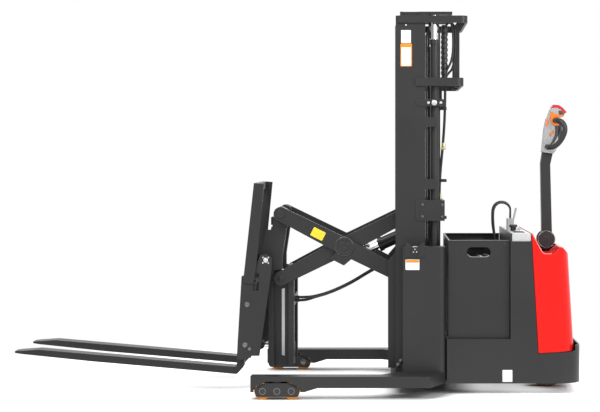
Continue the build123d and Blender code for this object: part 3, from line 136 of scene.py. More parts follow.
def soft_edges(tree, width):
    """The surface's normal, rounded over a small width at sharp edges, and how near an edge is."""
    rounded = add_node(tree, "ShaderNodeBevel", samples=4, Radius=width)
    facing = add_node(tree, "ShaderNodeNewGeometry")
    dot = add_node(tree, "ShaderNodeVectorMath", operation="DOT_PRODUCT")
    tree.links.new(rounded.outputs["Normal"], dot.inputs[0])
    tree.links.new(facing.outputs["Normal"], dot.inputs[1])
    limits = {"From Min": EDGE_FLAT, "From Max": EDGE_SHARP}
    near = add_node(tree, "ShaderNodeMapRange", Value=dot.outputs["Value"], **limits)
    return rounded.outputs["Normal"], near.outputs["Result"]


def finish_material(
    name, colour, rough, metal=0.0, spread=0.12, grain=900.0, grain_strength=0.12, cloud=3.0,
    rough_spread=0.06, coat=0.0, specular=0.5, stretch=(1.0, 1.0, 1.0),
    edge_width=0.0015, edge_wear=0.55, edge_colour=None, scuff=0.0,
):
    """Paint, plastic, rubber or metal: clouded colour, uneven gloss, worn edges and a fine grain."""
    material, tree, shader = new_material(name)
    clouds = object_noise(tree, cloud, CLOUD_DETAIL)
    tone = ramp(tree, clouds, zip(CLOUD_STOPS, (shade(colour, 1 - spread), shade(colour, 1 + spread))))
    smudges = object_noise(tree, cloud * SMUDGE_PER_CLOUD, SMUDGE_DETAIL)
    fine = object_noise(tree, grain, GRAIN_DETAIL, stretch)
    normal, near = soft_edges(tree, edge_width)
    if edge_colour:
        patchy = span(tree, object_noise(tree, WEAR_SCALE, WEAR_DETAIL), WEAR_LEAST, edge_wear)
        tone = mix_over(tree, tone, combine(tree, "MULTIPLY", near, patchy), edge_colour)
    if scuff:
        marks = object_noise(tree, SCUFF_SCALE, SCUFF_DETAIL, SCUFF_STRETCH)
        share = ramp(tree, marks, zip(SCUFF_STOPS, ((0.0, 0.0, 0.0), (scuff, scuff, scuff))))
        tone = mix_over(tree, tone, share, shade(colour, SCUFF_LIGHT))
    gloss = span(tree, smudges, rough - rough_spread, rough + rough_spread)
    tree.links.new(tone, shader.inputs["Base Color"])
    tree.links.new(gloss, shader.inputs["Roughness"])
    for socket, value in (
        ("Metallic", metal), ("Coat Weight", coat), ("Coat Roughness", COAT_ROUGHNESS),
        ("Specular IOR Level", specular),
    ):
        shader.inputs[socket].default_value = value
    grained = add_node(
        tree, "ShaderNodeBump", Strength=grain_strength, Distance=GRAIN_DEPTH, Height=fine, Normal=normal,
    )
    tree.links.new(grained.outputs["Normal"], shader.inputs["Normal"])
    return material


def add_bolt_heads(material, centres, radius, rim_highlight):
    """Round heads, flush with a plate square to Y, each with a light rim, which is a painted highlight, and a
    dark line within.
    """
    tree = material.node_tree
    base = tree.nodes["Principled BSDF"].inputs["Base Color"]
    place = add_node(tree, "ShaderNodeTexCoord")
    flat = add_node(tree, "ShaderNodeVectorMath", operation="MULTIPLY")
    flat.inputs[1].default_value = (1.0, 0.0, 1.0)
    tree.links.new(place.outputs["Object"], flat.inputs[0])
    for share, tone in ((1.0, rim_highlight), (HEAD_LINE_SHARE, HEAD_LINE), (HEAD_FACE_SHARE, HEAD_FACE)):
        mask = 0.0
        for x, z in centres:
            away = add_node(tree, "ShaderNodeVectorMath", operation="DISTANCE")
            away.inputs[1].default_value = (x, 0.0, z)
            tree.links.new(flat.outputs["Vector"], away.inputs[0])
            within = combine(tree, "LESS_THAN", away.outputs["Value"], radius * share)
            mask = combine(tree, "MAXIMUM", mask, within)
        tree.links.new(mix_over(tree, base.links[0].from_socket, mask, tone), base)


# Bolts of the bogies: the middle one holds the bogie, the outer ones hold its wheels
BOGIE_PIVOT_X, BOGIE_AXLES_X, BOGIE_BOLT_Z = -0.074, (-0.1445, -0.0035), 0.042
# The rim colour is a painted highlight on the rounded rims of the bolt heads
BOGIE_HEAD_RADIUS, BOGIE_RIM_HIGHLIGHT = 0.0165, (0.16, 0.16, 0.165)

charcoal_look = dict(
    colour=(0.019, 0.019, 0.020), rough=0.40, grain=700, grain_strength=0.10, edge_colour=(0.20, 0.20, 0.21),
    specular=0.4,
)
bogie_paint = finish_material("bogie_paint", **charcoal_look)
bogie_bolts = [(x, BOGIE_BOLT_Z) for x in (BOGIE_PIVOT_X, *BOGIE_AXLES_X)]
add_bolt_heads(bogie_paint, bogie_bolts, BOGIE_HEAD_RADIUS, BOGIE_RIM_HIGHLIGHT)
charcoal = finish_material("charcoal_paint", **charcoal_look)
fork_paint = finish_material(
    "fork_paint", (0.017, 0.017, 0.018), 0.36, grain=300, grain_strength=0.18, edge_colour=(0.30, 0.30, 0.30),
    edge_wear=0.8, scuff=0.35, specular=0.3,
)
red_paint = finish_material(
    "red_paint", (0.78, 0.006, 0.003), 0.20, grain=250, grain_strength=0.03, coat=0.15, spread=0.05,
    edge_width=0.003, specular=0.2,
)
# A lighter, glossier red that paints the highlight along the cover's rolled edge
red_edge_highlight = finish_material(
    "red_edge_highlight", (0.90, 0.16, 0.11), 0.12, grain=250, grain_strength=0.02, coat=0.8, spread=0.05,
)
bare_steel = finish_material(
    "bare_steel", (0.50, 0.50, 0.51), 0.32, metal=1.0, grain=180, stretch=(1, 1, 12),
)
chrome = finish_material(
    "chrome_rod", (0.85, 0.85, 0.87), 0.10, metal=1.0, rough_spread=0.03, grain_strength=0.02,
)
zinc = finish_material("yellow_zinc", (0.60, 0.52, 0.30), 0.32, metal=1.0, spread=0.2)
bright_zinc = finish_material("bright_zinc", (0.70, 0.70, 0.72), 0.28, metal=1.0, spread=0.1)
dark_steel = finish_material("dark_steel", (0.17, 0.17, 0.175), 0.30, metal=0.9, spread=0.15, cloud=30)
chain_steel = finish_material("chain_steel", (0.040, 0.040, 0.040), 0.42, metal=0.5, cloud=40)
orange_pu = finish_material("orange_polyurethane", (0.85, 0.30, 0.015), 0.38, spread=0.1, cloud=12)
brown_pu = finish_material("brown_polyurethane", (0.30, 0.13, 0.05), 0.45, spread=0.15, cloud=12)
rubber = finish_material(
    "black_rubber", (0.014, 0.014, 0.015), 0.50, cloud=20, grain=1200, grain_strength=0.2,
)
plastic = finish_material(
    "black_plastic", (0.018, 0.018, 0.020), 0.45, cloud=14, grain=1500, grain_strength=0.25,
)
dark_grey_plastic = finish_material("dark_grey_plastic", (0.06, 0.06, 0.062), 0.42, cloud=12, grain=1500)
grey_plastic = finish_material(
    "grey_plastic", (0.40, 0.405, 0.41), 0.42, cloud=10, grain=1500, grain_strength=0.15, spread=0.05,
)
console_plastic = finish_material(
    "console_plastic", (0.55, 0.55, 0.55), 0.40, cloud=10, grain=1500, grain_strength=0.15, spread=0.05,
)
wrap_plastic = finish_material(
    "wrap_plastic", (0.050, 0.050, 0.052), 0.42, cloud=20, grain=900, grain_strength=0.2,
)
red_plastic = finish_material("red_plastic", (0.60, 0.015, 0.03), 0.30, cloud=14, spread=0.05)
orange_plastic = finish_material("orange_plastic", (0.90, 0.20, 0.01), 0.35, cloud=14, spread=0.05)
yellow_label = finish_material("yellow_label", (0.92, 0.66, 0.03), 0.4, cloud=30, spread=0.05)
white_label = finish_material("white_label", (0.88, 0.88, 0.87), 0.4, cloud=30, spread=0.03)
orange_label = finish_material("orange_label", (0.92, 0.27, 0.01), 0.4, cloud=30, spread=0.04)
dark_glass = finish_material(
    "dark_display", (0.010, 0.014, 0.018), 0.08, cloud=8, grain_strength=0.0, coat=0.8,
)

node_materials = {
    bogie_paint: "bogie_left bogie_right",
    charcoal: "leg_left leg_right chassis_frame power_body battery_box mast_columns outer_mast lift_barrels "
    "inner_mast mast_carriage arm_inner arm_outer front_frame fork_carriage backrest reach_barrels "
    "tilt_barrel drive_unit castor_mount castor_fork tiller_base tiller_arm",
    fork_paint: "fork_left fork_right",
    red_paint: "rear_cover",
    chrome: "lift_rods reach_rods tilt_rod",
    bare_steel: "chain_sheaves",
    chain_steel: "chain_front chain_rear",
    orange_pu: "load_wheel_left_front load_wheel_left_rear load_wheel_right_front load_wheel_right_rear",
    brown_pu: "drive_wheel",
    rubber: "castor_wheel mast_hoses reach_hoses battery_cable_near battery_cable_far",
    plastic: "stop_knob tiller_grips battery",
    console_plastic: "console",
    grey_plastic: "battery_plug tiller_head",
    red_plastic: "belly_button",
}
for material, names in node_materials.items():
    for name in names.split():
        node = nodes[name]
        node.data.materials.clear()
        node.data.materials.append(material)

# Free cords: the two battery cables, from the battery over to their plug
CABLE_DIAMETER = 0.010
CABLE_PITCH = 0.006
PLUG_X, PLUG_Y, PLUG_TOP = 1.110, -0.040, 0.8683
CABLE_FOOT_X, CABLE_FOOT_Y, BATTERY_TOP = 1.034, -0.060, 0.6403
SPLINE_ORDER = 3
TUBE_SMOOTHNESS, ROUTE_SMOOTHNESS = 5, 10


def link_object(name, data):
    piece = bpy.data.objects.new(name, data)
    bpy.context.scene.collection.objects.link(piece)
    return piece


def route_curve(name, points, radius, material):
    """A smooth tube on one open spline with the route's points."""
    data = bpy.data.curves.new(name, "CURVE")
    data.dimensions = "3D"
    data.bevel_depth = radius
    data.bevel_resolution = TUBE_SMOOTHNESS
    data.resolution_u = ROUTE_SMOOTHNESS
    data.use_fill_caps = True
    spline = data.splines.new("NURBS")
    spline.points.add(len(points) - 1)
    for point, place in zip(spline.points, points):
        point.co = (*place, 1.0)
    spline.order_u = SPLINE_ORDER
    spline.use_endpoint_u = True
    data.materials.append(material)
    return link_object(name, data)


def make_battery_cable(name, offset):
    """One cable of the pair: up off the battery, over in a loop that fans out a little, down to the plug."""
    spread = offset / 2
    points = [
        (CABLE_FOOT_X, CABLE_FOOT_Y + offset, BATTERY_TOP),
        (1.036, -0.060 + offset, 0.700),
        (1.030, -0.059 + offset, 0.760),
        (1.020 - spread, -0.057 + offset, 0.820),
        (1.017 - spread, -0.053 + offset, 0.875),
        (1.020 - spread, -0.048 + offset, 0.925 + spread),
        (1.046 - spread / 2, -0.044 + offset, 0.952 + spread),
        (1.084 + spread / 2, -0.041 + offset, 0.952 + spread),
        (PLUG_X + spread / 2, PLUG_Y + offset, 0.928),
        (PLUG_X + 0.001, PLUG_Y + offset, 0.900),
        (PLUG_X, PLUG_Y + offset, PLUG_TOP),
    ]
    cable = route_curve(f"{name}_sleeve", points, CABLE_DIAMETER / 2, rubber)
    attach(cable, "chassis")
    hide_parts(name)


make_battery_cable("battery_cable_near", -CABLE_PITCH)
make_battery_cable("battery_cable_far", CABLE_PITCH)

# Mesh tools
STEEP = 0.9  # beyond this share of X, an axis takes Z as the guide for its own x
POINT = 1e-6  # a turned form's ring smaller than this is a single point
SHARP_ANGLE = 35.0
CORNER_STEPS = 4
# Bolts and screws, as shares of the head's radius
WASHER_RADIUS, WASHER_HEIGHT, WASHER_BEVEL = 1.45, 0.25, 0.06
HEAD_SEAT, HEAD_HEIGHT, HEAD_BEVEL = 0.24, 0.75, 0.10
SCREW_PROFILE = ((1.0, 0.0), (1.0, 0.8), (0.88, 0.95), (0.55, 0.95), (0.5, 0.45), (0.0, 0.45))
# Hose fittings, as shares of the hose's radius and of the fitting's length
FERRULE_PROFILE = ((1.25, 0.0), (1.45, 0.06), (1.45, 0.55), (1.2, 0.62))
NUT_RADIUS, NUT_START, NUT_LENGTH, NUT_BEVEL = 1.75, 0.62, 0.38, 0.12


def axes_at(origin, z_axis, x_axis=None):
    """A placing matrix with its z along one direction and its x as near another as that allows."""
    z = Vector(z_axis).normalized()
    guide = Vector(x_axis or ((1, 0, 0) if abs(z.x) < STEEP else UP))
    x = (guide - z * guide.dot(z)).normalized()
    y = z.cross(x)
    return Matrix((
        (x.x, y.x, z.x, origin[0]), (x.y, y.y, z.y, origin[1]), (x.z, y.z, z.z, origin[2]), (0, 0, 0, 1),
    ))


def upright(side, y):
    """The plane square to Y at a place, that faces outward on its side, with its x level and its y upward."""
    return axes_at((0, side * y, 0), (0, side, 0), (-side, 0, 0))


def side_outline(side, points):
    """Points in X and Z, as the plane from upright takes them."""
    return [(-side * x, z) for x, z in points]


def join_rings(work, rings, closed=True):
    """The faces between rings, or open rows, of as many points, each joined to the next."""
    walls = []
    for first, second in zip(rings, rings[1:]):
        pairs = list(zip(first, second))
        turned = pairs[1:] + pairs[:closed]
        walls += [work.faces.new((a, c, d, b)) for (a, b), (c, d) in zip(pairs, turned)]
    return walls


def prism(work, place, outline, low, high, bevel=0.0, rim_only=False, segments=2):
    """A plate with an outline in the placing's x and y, from one height to another along its z."""
    area = sum(a[0] * b[1] - b[0] * a[1] for a, b in zip(outline, outline[1:] + outline[:1]))
    if area < 0:
        outline = outline[::-1]
    rings = [[work.verts.new(place @ Vector((a, b, level))) for a, b in outline] for level in (low, high)]
    ends = [work.faces.new(rings[0][::-1]), work.faces.new(rings[1])]
    walls = join_rings(work, rings)
    if bevel:
        faces = ends if rim_only else ends + walls
        edges = list(dict.fromkeys(edge for face in faces for edge in face.edges))
        bmesh.ops.bevel(
            work, geom=edges, offset=bevel, segments=segments, affect="EDGES", profile=0.5,
            clamp_overlap=True,
        )


def block(work, low, high, bevel):
    """A box between two corners, with its edges rounded."""
    outline = [(low[0], low[1]), (high[0], low[1]), (high[0], high[1]), (low[0], high[1])]
    prism(work, Matrix.Identity(4), outline, low[2], high[2], bevel=bevel)


def ring_points(radius, count):
    angles = [2 * math.pi * i / count for i in range(count)]
    return [(radius * math.cos(angle), radius * math.sin(angle)) for angle in angles]


def rounded_rectangle(width, height, corner):
    points = []
    for cx, cy, start in ((1, 1, 0), (-1, 1, 90), (-1, -1, 180), (1, -1, 270)):
        for step in range(CORNER_STEPS + 1):
            angle = math.radians(start + 90 * step / CORNER_STEPS)
            points.append((
                cx * (width / 2 - corner) + corner * math.cos(angle),
                cy * (height / 2 - corner) + corner * math.sin(angle),
            ))
    return points


def disc(work, centre, axis, radius, height, count=24, bevel=0.0):
    prism(work, axes_at(centre, axis), ring_points(radius, count), 0.0, height, bevel=bevel, rim_only=True)


def lathe(work, centre, axis, profile, count=24):
    """A turned form: the profile gives radius and height along the axis, from one end to the other."""
    place = axes_at(centre, axis)
    rings = [
        [
            work.verts.new(place @ Vector((a, b, height)))
            for a, b in ([(0, 0)] if radius < POINT else ring_points(radius, count))
        ]
        for radius, height in profile
    ]
    for lower, upper in zip(rings, rings[1:]):
        for i in range(count):
            k = (i + 1) % count
            corners = dict.fromkeys((
                lower[i % len(lower)], lower[k % len(lower)], upper[k % len(upper)], upper[i % len(upper)],
            ))
            if len(corners) > 2:
                work.faces.new(list(corners))
    for ring in (rings[0][::-1], rings[-1]):
        if len(ring) > 1:
            work.faces.new(ring)


def bolt(work, centre, axis, size):
    """A hexagon head on its washer; size is the head's radius."""
    out = Vector(axis).normalized()
    disc(
        work, centre, out, size * WASHER_RADIUS, size * WASHER_HEIGHT, count=20, bevel=size * WASHER_BEVEL,
    )
    seat = Vector(centre) + out * size * HEAD_SEAT
    disc(work, seat, out, size, size * HEAD_HEIGHT, count=6, bevel=size * HEAD_BEVEL)


def cap_screw(work, centre, axis, size):
    """A round head with a socket; size is the head's radius."""
    profile = [(size * radius, size * height) for radius, height in SCREW_PROFILE]
    lathe(work, centre, Vector(axis).normalized(), profile, count=18)


def on_both_sides(make, work, x, face, z, *form):
    """The same form on both sides, on faces as far out from the middle plane."""
    for side in SIDES:
        make(work, (x, side * face, z), (0, side, 0), *form)


def screw_ring(work, x, face, z, size, ring, count, first):
    """Screws in a circle, on both sides; first is the first one's angle."""
    for turn in range(count):
        angle = math.radians(first + 360 / count * turn)
        on_both_sides(cap_screw, work, x + ring * math.cos(angle), face, z + ring * math.sin(angle), size)


def hose_fitting(work, centre, axis, radius, length):
    """A crimped ferrule with a nut at its end."""
    profile = [(radius * out, length * along) for out, along in FERRULE_PROFILE]
    lathe(work, centre, axis, profile, count=20)
    start = Vector(centre) + Vector(axis).normalized() * (length * NUT_START)
    outline = ring_points(radius * NUT_RADIUS, 6)
    prism(work, axes_at(start, axis), outline, 0.0, length * NUT_LENGTH, bevel=radius * NUT_BEVEL)


def add_piece(name, mesh, body, material):
    """A smooth-shaded mesh as a piece of the machine, on its body and with its material."""
    for face in mesh.polygons:
        face.use_smooth = True
    mesh.materials.clear()
    mesh.materials.append(material)
    piece = link_object(name, mesh)
    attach(piece, body)
    return piece


def make_piece(name, work, body, material, angle=SHARP_ANGLE):
    """The finished work as a piece, with its edges above an angle kept sharp."""
    bmesh.ops.recalc_face_normals(work, faces=work.faces[:])
    mesh = bpy.data.meshes.new(name)
    work.to_mesh(mesh)
    work.free()
    piece = add_piece(name, mesh, body, material)
    mesh.set_sharp_from_angle(angle=math.radians(angle))
    return piece


def tube_mesh(name, points, radius, body, material):
    """A hose as a mesh, on a smooth spline through the route's control points."""
    curve = route_curve(f"{name}_route", points, radius, material)
    bpy.context.view_layer.update()
    shaped = curve.evaluated_get(bpy.context.evaluated_depsgraph_get())
    mesh = bpy.data.meshes.new_from_object(shaped)
    mesh.name = name
    bpy.data.objects.remove(curve)
    return add_piece(name, mesh, body, material)


# Faces that small pieces stand on, as distances from the middle plane
STILE_FACE, TIE_FACE, COLUMN_FACE, SKIRT_FACE = 0.3401, 0.3461, 0.4481, 0.4251
PIN_FACE, FORK_FACE, ARM_FACE, INNER_ARM_FACE, CENTRE_FACE = 0.4661, 0.3001, 0.2422, 0.2161, 0.2461

# Labels, blank, with their colours
LABEL_THICKNESS, INLAY_THICKNESS = 0.0006, 0.0003
LABEL_CORNER, INLAY_CORNER = 0.003, 0.001
ARM_LABEL_X, ARM_LABEL_Z, ARM_LABEL_LEAN, ARM_LABEL_SECTION = 0.112, 0.795, -27, (0.068, 0.047, 0.004)


def plate(work, y, low_x, high_x, low_z, high_z, thickness=LABEL_THICKNESS, corner=LABEL_CORNER):
    """A thin rounded plate on a face of the left side, square to Y."""
    centre = ((low_x + high_x) / 2, (low_z + high_z) / 2)
    outline = [
        (centre[0] + a, centre[1] + b) for a, b in rounded_rectangle(high_x - low_x, high_z - low_z, corner)
    ]
    prism(work, upright(LEFT, y), outline, 0.0, thickness, bevel=thickness / 3, rim_only=True, segments=1)


work = bmesh.new()
plate(work, STILE_FACE, 0.536, 0.586, 1.7655, 1.831)
plate(work, COLUMN_FACE, 0.557, 0.627, 0.625, 0.677)
plate(work, SKIRT_FACE, 1.043, 1.093, 0.063, 0.123)
plate(
    work, STILE_FACE + LABEL_THICKNESS, 0.5375, 0.5865, 1.651, 1.744, thickness=INLAY_THICKNESS,
    corner=INLAY_CORNER,
)
make_piece("labels_white", work, "chassis", white_label)
work = bmesh.new()
plate(work, STILE_FACE, 0.533, 0.591, 1.647, 1.763)
plate(work, COLUMN_FACE + LABEL_THICKNESS, 0.559, 0.625, 0.662, 0.675, thickness=INLAY_THICKNESS)
make_piece("labels_orange", work, "chassis", orange_label)
work = bmesh.new()
lean = math.radians(ARM_LABEL_LEAN)
centre = (ARM_LABEL_X, LEFT * ARM_FACE, ARM_LABEL_Z)
place = axes_at(centre, (0, LEFT, 0), (math.cos(lean), 0, math.sin(lean)))
prism(
    work, place, rounded_rectangle(*ARM_LABEL_SECTION), 0.0, LABEL_THICKNESS,
    bevel=LABEL_THICKNESS / 3, rim_only=True, segments=1,
)
make_piece("label_yellow", work, "arm_outer", yellow_label)

# Screws of the mast, its ties and its feet: places in X and Z, and the radius of their heads
TIE_SCREWS, TIE_SCREW_SIZE = ((0.745, 0.948), (0.745, 0.888), (0.645, 0.948), (0.645, 0.888)), 0.0065
FOOT_BOLTS, FOOT_BOLT_SIZE = ((0.536, 0.157), (0.5225, 0.136)), 0.0075
TOP_SCREW_X, TOP_SCREW_Z, TOP_SCREW_SIZE = 0.561, 1.8565, 0.0050
CLAMP_Z, CLAMP_BOLT_X, CLAMP_BOLT_SIZE = 1.4635, 0.7045, 0.0095
CLAMP_SCREWS_X, CLAMP_SCREW_SIZE = (0.6745, 0.7370), 0.0070
PIN_X, PIN_Z = 0.6045, 0.720
PIN_RING = [(0.0245, 0.0), (0.0245, 0.0015), (0.0235, 0.0025), (0.0170, 0.0025), (0.0170, 0.0)]
PIN_SCREW_RING, PIN_SCREW_SIZE = 0.0092, 0.0032
work = bmesh.new()
for x, z in TIE_SCREWS:
    on_both_sides(cap_screw, work, x, TIE_FACE, z, TIE_SCREW_SIZE)
for x, z in FOOT_BOLTS:
    on_both_sides(bolt, work, x, STILE_FACE, z, FOOT_BOLT_SIZE)
make_piece("mast_screws", work, "chassis", dark_steel)
work = bmesh.new()
on_both_sides(cap_screw, work, TOP_SCREW_X, STILE_FACE, TOP_SCREW_Z, TOP_SCREW_SIZE)
on_both_sides(bolt, work, CLAMP_BOLT_X, TIE_FACE, CLAMP_Z, CLAMP_BOLT_SIZE)
for x in CLAMP_SCREWS_X:
    on_both_sides(cap_screw, work, x, TIE_FACE, CLAMP_Z, CLAMP_SCREW_SIZE)
on_both_sides(lathe, work, PIN_X, COLUMN_FACE, PIN_Z, PIN_RING, 36)
screw_ring(work, PIN_X, PIN_FACE, PIN_Z, PIN_SCREW_SIZE, PIN_SCREW_RING, 3, 90)
make_piece("mast_bright_screws", work, "chassis", bright_zinc)

# Pins of the reach: the cap and rim of the middle one, the front pins' caps and bolts, and the oil fittings
CENTRE_X, CENTRE_Z = 0.2459, 0.7308
CENTRE_CAP = [
    (0.0470, 0.0), (0.0470, 0.0020), (0.0460, 0.0030), (0.0330, 0.0030), (0.0320, 0.0010), (0.0275, 0.0010),
    (0.0265, 0.0022), (0.0255, 0.0030), (0.0080, 0.0030), (0.0070, 0.0015), (0.0, 0.0015),
]
CENTRE_RIM = [(0.0497, 0.0), (0.0497, 0.0006), (0.0484, 0.0022), (0.0474, 0.0022), (0.0474, 0.0)]
FRONT_X, UPPER_PIN_Z, LOWER_PIN_Z, UPPER_PIN_FACE = -0.080, 0.897, 0.5647, 0.2481
FRONT_CAP = [
    (0.0210, 0.0), (0.0210, 0.0006), (0.0203, 0.0012), (0.0120, 0.0012), (0.0112, 0.0004), (0.0, 0.0004),
]
LOWER_BOLT_SIZE = 0.011
PORT_Y, PORT_X, PORT_Z, PORT_HALF_WIDTH = 0.200, (-0.076, -0.050), (0.598, 0.614), 0.009
PORT_BEVEL, PORT_FITTING_RADIUS, PORT_FITTING_LENGTH = 0.002, 0.0055, 0.022
work = bmesh.new()
on_both_sides(lathe, work, CENTRE_X, CENTRE_FACE, CENTRE_Z, CENTRE_CAP, 64)
on_both_sides(lathe, work, FRONT_X, UPPER_PIN_FACE, UPPER_PIN_Z, FRONT_CAP, 32)
make_piece("arm_caps", work, "arm_outer", charcoal)
work = bmesh.new()
on_both_sides(lathe, work, CENTRE_X, CENTRE_FACE, CENTRE_Z, CENTRE_RIM, 64)
make_piece("centre_rims", work, "arm_outer", dark_steel)
work = bmesh.new()
on_both_sides(bolt, work, FRONT_X, INNER_ARM_FACE, LOWER_PIN_Z, LOWER_BOLT_SIZE)
make_piece("front_pin_bolts", work, "arm_inner", charcoal)
work = bmesh.new()
for side in SIDES:
    y = side * PORT_Y
    block(
        work, (PORT_X[0], y - PORT_HALF_WIDTH, PORT_Z[0]), (PORT_X[1], y + PORT_HALF_WIDTH, PORT_Z[1]),
        bevel=PORT_BEVEL,
    )
    hose_fitting(work, (-0.063, y, 0.606), (1, 0, 0.25), PORT_FITTING_RADIUS, PORT_FITTING_LENGTH)
make_piece("arm_fittings", work, "arm_inner", bright_zinc)

# Fork carriage: bolts of the side plates and of the tilt pivot
TILT_X, TILT_Z, REST_TILT = -0.152, 0.664, 5
FORK_BOLTS = ((-0.226, 0.432, 0.009), (-0.219, 0.226, 0.009), (-0.194, 0.208, 0.006))
PIVOT_BOLT_SIZE, PIVOT_SCREW_RING, PIVOT_SCREW_SIZE = 0.0085, 0.0195, 0.0042


def leant(x, z):
    """A level place on the fork carriage, as it stands tilted back in the rest pose."""
    angle = math.radians(REST_TILT)
    dx, dz = x - TILT_X, z - TILT_Z
    return (
        TILT_X + dx * math.cos(angle) + dz * math.sin(angle),
        TILT_Z + dz * math.cos(angle) - dx * math.sin(angle),
    )


work = bmesh.new()
for x, z, size in FORK_BOLTS:
    px, pz = leant(x, z)
    on_both_sides(bolt, work, px, FORK_FACE, pz, size)
make_piece("fork_bolts", work, "fork_carriage", dark_steel)
work = bmesh.new()
on_both_sides(bolt, work, TILT_X, FORK_FACE, TILT_Z, PIVOT_BOLT_SIZE)
screw_ring(work, TILT_X, FORK_FACE, TILT_Z, PIVOT_SCREW_SIZE, PIVOT_SCREW_RING, 4, 45)
make_piece("tilt_pivot_bolts", work, "fork_carriage", bright_zinc)

# Worn path of the guide rollers in the front frame's channels
CHANNEL_FACE, PATH_THICKNESS = 0.1521, 0.0004
ROLLER_PATH = [(-0.0795, 0.166), (-0.0635, 0.160), (-0.0635, 0.512), (-0.0795, 0.506)]
work = bmesh.new()
for side in SIDES:
    prism(work, upright(side, CHANNEL_FACE), side_outline(side, ROLLER_PATH), 0.0, PATH_THICKNESS)
make_piece("roller_path", work, "front_frame", bare_steel)

# Bogies: bolts on their inner faces, and thin plates that fill in the arch of their cheeks
BOGIE_INNER_FACE, AXLE_BOLT_SIZE, PIVOT_SIZE = 0.5199, 0.0085, 0.0105
CHEEK_PLATES = ((0.5993, 0.5998), (0.5302, 0.5307))
BOGIE_CHEEK = [
    (-0.166, 0.016), (-0.1785, 0.024), (-0.1835, 0.040), (-0.181, 0.053), (-0.172, 0.065), (-0.157, 0.074),
    (-0.138, 0.079), (-0.110, 0.0802), (-0.038, 0.0802), (-0.010, 0.079), (0.009, 0.074), (0.024, 0.065),
    (0.033, 0.053), (0.0355, 0.040), (0.0305, 0.024), (0.018, 0.016),
]
for name, side in zip(SIDE_NAMES, SIDES):
    work = bmesh.new()
    for x, size in (
        (BOGIE_AXLES_X[0], AXLE_BOLT_SIZE), (BOGIE_PIVOT_X, PIVOT_SIZE), (BOGIE_AXLES_X[1], AXLE_BOLT_SIZE),
    ):
        bolt(work, (x, side * BOGIE_INNER_FACE, BOGIE_BOLT_Z), (0, -side, 0), size)
    make_piece(f"bogie_bolts_{name}", work, f"bogie_{name}", dark_steel)
    work = bmesh.new()
    for low, high in CHEEK_PLATES:
        prism(work, upright(side, 0.0), side_outline(side, BOGIE_CHEEK), low, high)
    make_piece(f"bogie_cheeks_{name}", work, f"bogie_{name}", charcoal)

# Leaf chains, in links: plates on pins, in turn wide and narrow
LINK_PITCH, LINK_WIDTH, LINK_THICKNESS, LINK_STEPS = 0.0191, 0.0105, 0.0026, 5
LINK_PIN_RADIUS, LINK_PIN_SHARE = 0.0028, 0.56
CHAIN_WIDTH, WIDE_PLATES, NARROW_PLATES = 0.022, (-0.5, -0.17, 0.17, 0.5), (-0.34, 0.0, 0.34)
CHAIN_Y, FRONT_CHAIN_FOOT, REAR_CHAIN_FOOT = 0.236, 0.200, 0.130
SHEAVE_X, SHEAVE_Z, SHEAVE_ROUND, SHEAVE_LINKS = 0.705, 1.846, 0.027, 5


def link_outline(length):
    """A chain plate with two round ends."""
    radius = LINK_WIDTH / 2
    points = []
    for end, start in ((1, -90), (-1, 90)):
        for step in range(LINK_STEPS + 1):
            angle = math.radians(start + 180 * step / LINK_STEPS)
            points.append((end * length / 2 + radius * math.cos(angle), radius * math.sin(angle)))
    return points


def chain(work, route):
    """Plates along a route, on pins that lie across the machine."""
    across = Vector((0, 1, 0))
    for index, (start, end) in enumerate(zip(route, route[1:])):
        start, end = Vector(start), Vector(end)
        middle = (start + end) / 2
        for share in WIDE_PLATES if index % 2 else NARROW_PLATES:
            place = axes_at(middle + across * (share * CHAIN_WIDTH - LINK_THICKNESS / 2), across, end - start)
            prism(work, place, link_outline((end - start).length), 0.0, LINK_THICKNESS)
        disc(
            work, start - across * (LINK_PIN_SHARE * CHAIN_WIDTH), across, LINK_PIN_RADIUS,
            2 * LINK_PIN_SHARE * CHAIN_WIDTH, count=10,
        )


def straight_route(x, y, low, high):
    count = max(2, round((high - low) / LINK_PITCH))
    return [(x, y, low + (high - low) * i / count) for i in range(count + 1)]


work = bmesh.new()
for side in SIDES:
    chain(work, straight_route(SHEAVE_X - SHEAVE_ROUND, side * CHAIN_Y, FRONT_CHAIN_FOOT, SHEAVE_Z))
front_chain = make_piece("front_chain_links", work, "inner_mast", chain_steel)
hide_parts("chain_front")
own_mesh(front_chain)
work = bmesh.new()
for side in SIDES:
    route = straight_route(SHEAVE_X + SHEAVE_ROUND, side * CHAIN_Y, REAR_CHAIN_FOOT, SHEAVE_Z)
    for step in range(1, SHEAVE_LINKS + 1):
        angle = math.pi * step / SHEAVE_LINKS
        x, z = SHEAVE_X + SHEAVE_ROUND * math.cos(angle), SHEAVE_Z + SHEAVE_ROUND * math.sin(angle)
        route.append((x, side * CHAIN_Y, z))
    chain(work, route)
rear_chain = make_piece("rear_chain_links", work, "inner_mast", chain_steel)
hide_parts("chain_rear")

# Mast hoses: a wrapped bundle, two bent hoses behind it, and the feed line with its fittings and clamps
HOSE_Y = -0.190
BUNDLE_X, BUNDLE_LOW, BUNDLE_MIDDLE, BUNDLE_HIGH, BUNDLE_RADIUS = 0.760, 1.596, 1.73, 1.868, 0.0140
WRAP_RADIUS, WRAP_PITCH, WRAP_THICKNESS, WRAP_SET_IN = 0.0145, 0.0265, 0.0095, 0.012
WRAP_OUT_SHARE, WRAP_WIDTH_SHARE, WRAP_SHARP_ANGLE = 0.45, 0.42, 60
WRAP_STEPS_A_TURN, WRAP_ROUND = 16, 6
FEED_HOSE_RADIUS, SMALL_HOSE_RADIUS = 0.0070, 0.0060
FEED_ROUTE = (
    (0.7643, 1.600), (0.7648, 1.440), (0.754, 1.262), (0.738, 1.100), (0.734, 0.980), (0.733, 0.760),
)
SHORT_ROUTE = ((0.748, 1.600), (0.744, 1.555), (0.741, 1.510), (0.744, 1.468))
BENT_HOSES = ((-0.012, 0.800, 1.660), (0.012, 0.812, 1.632))
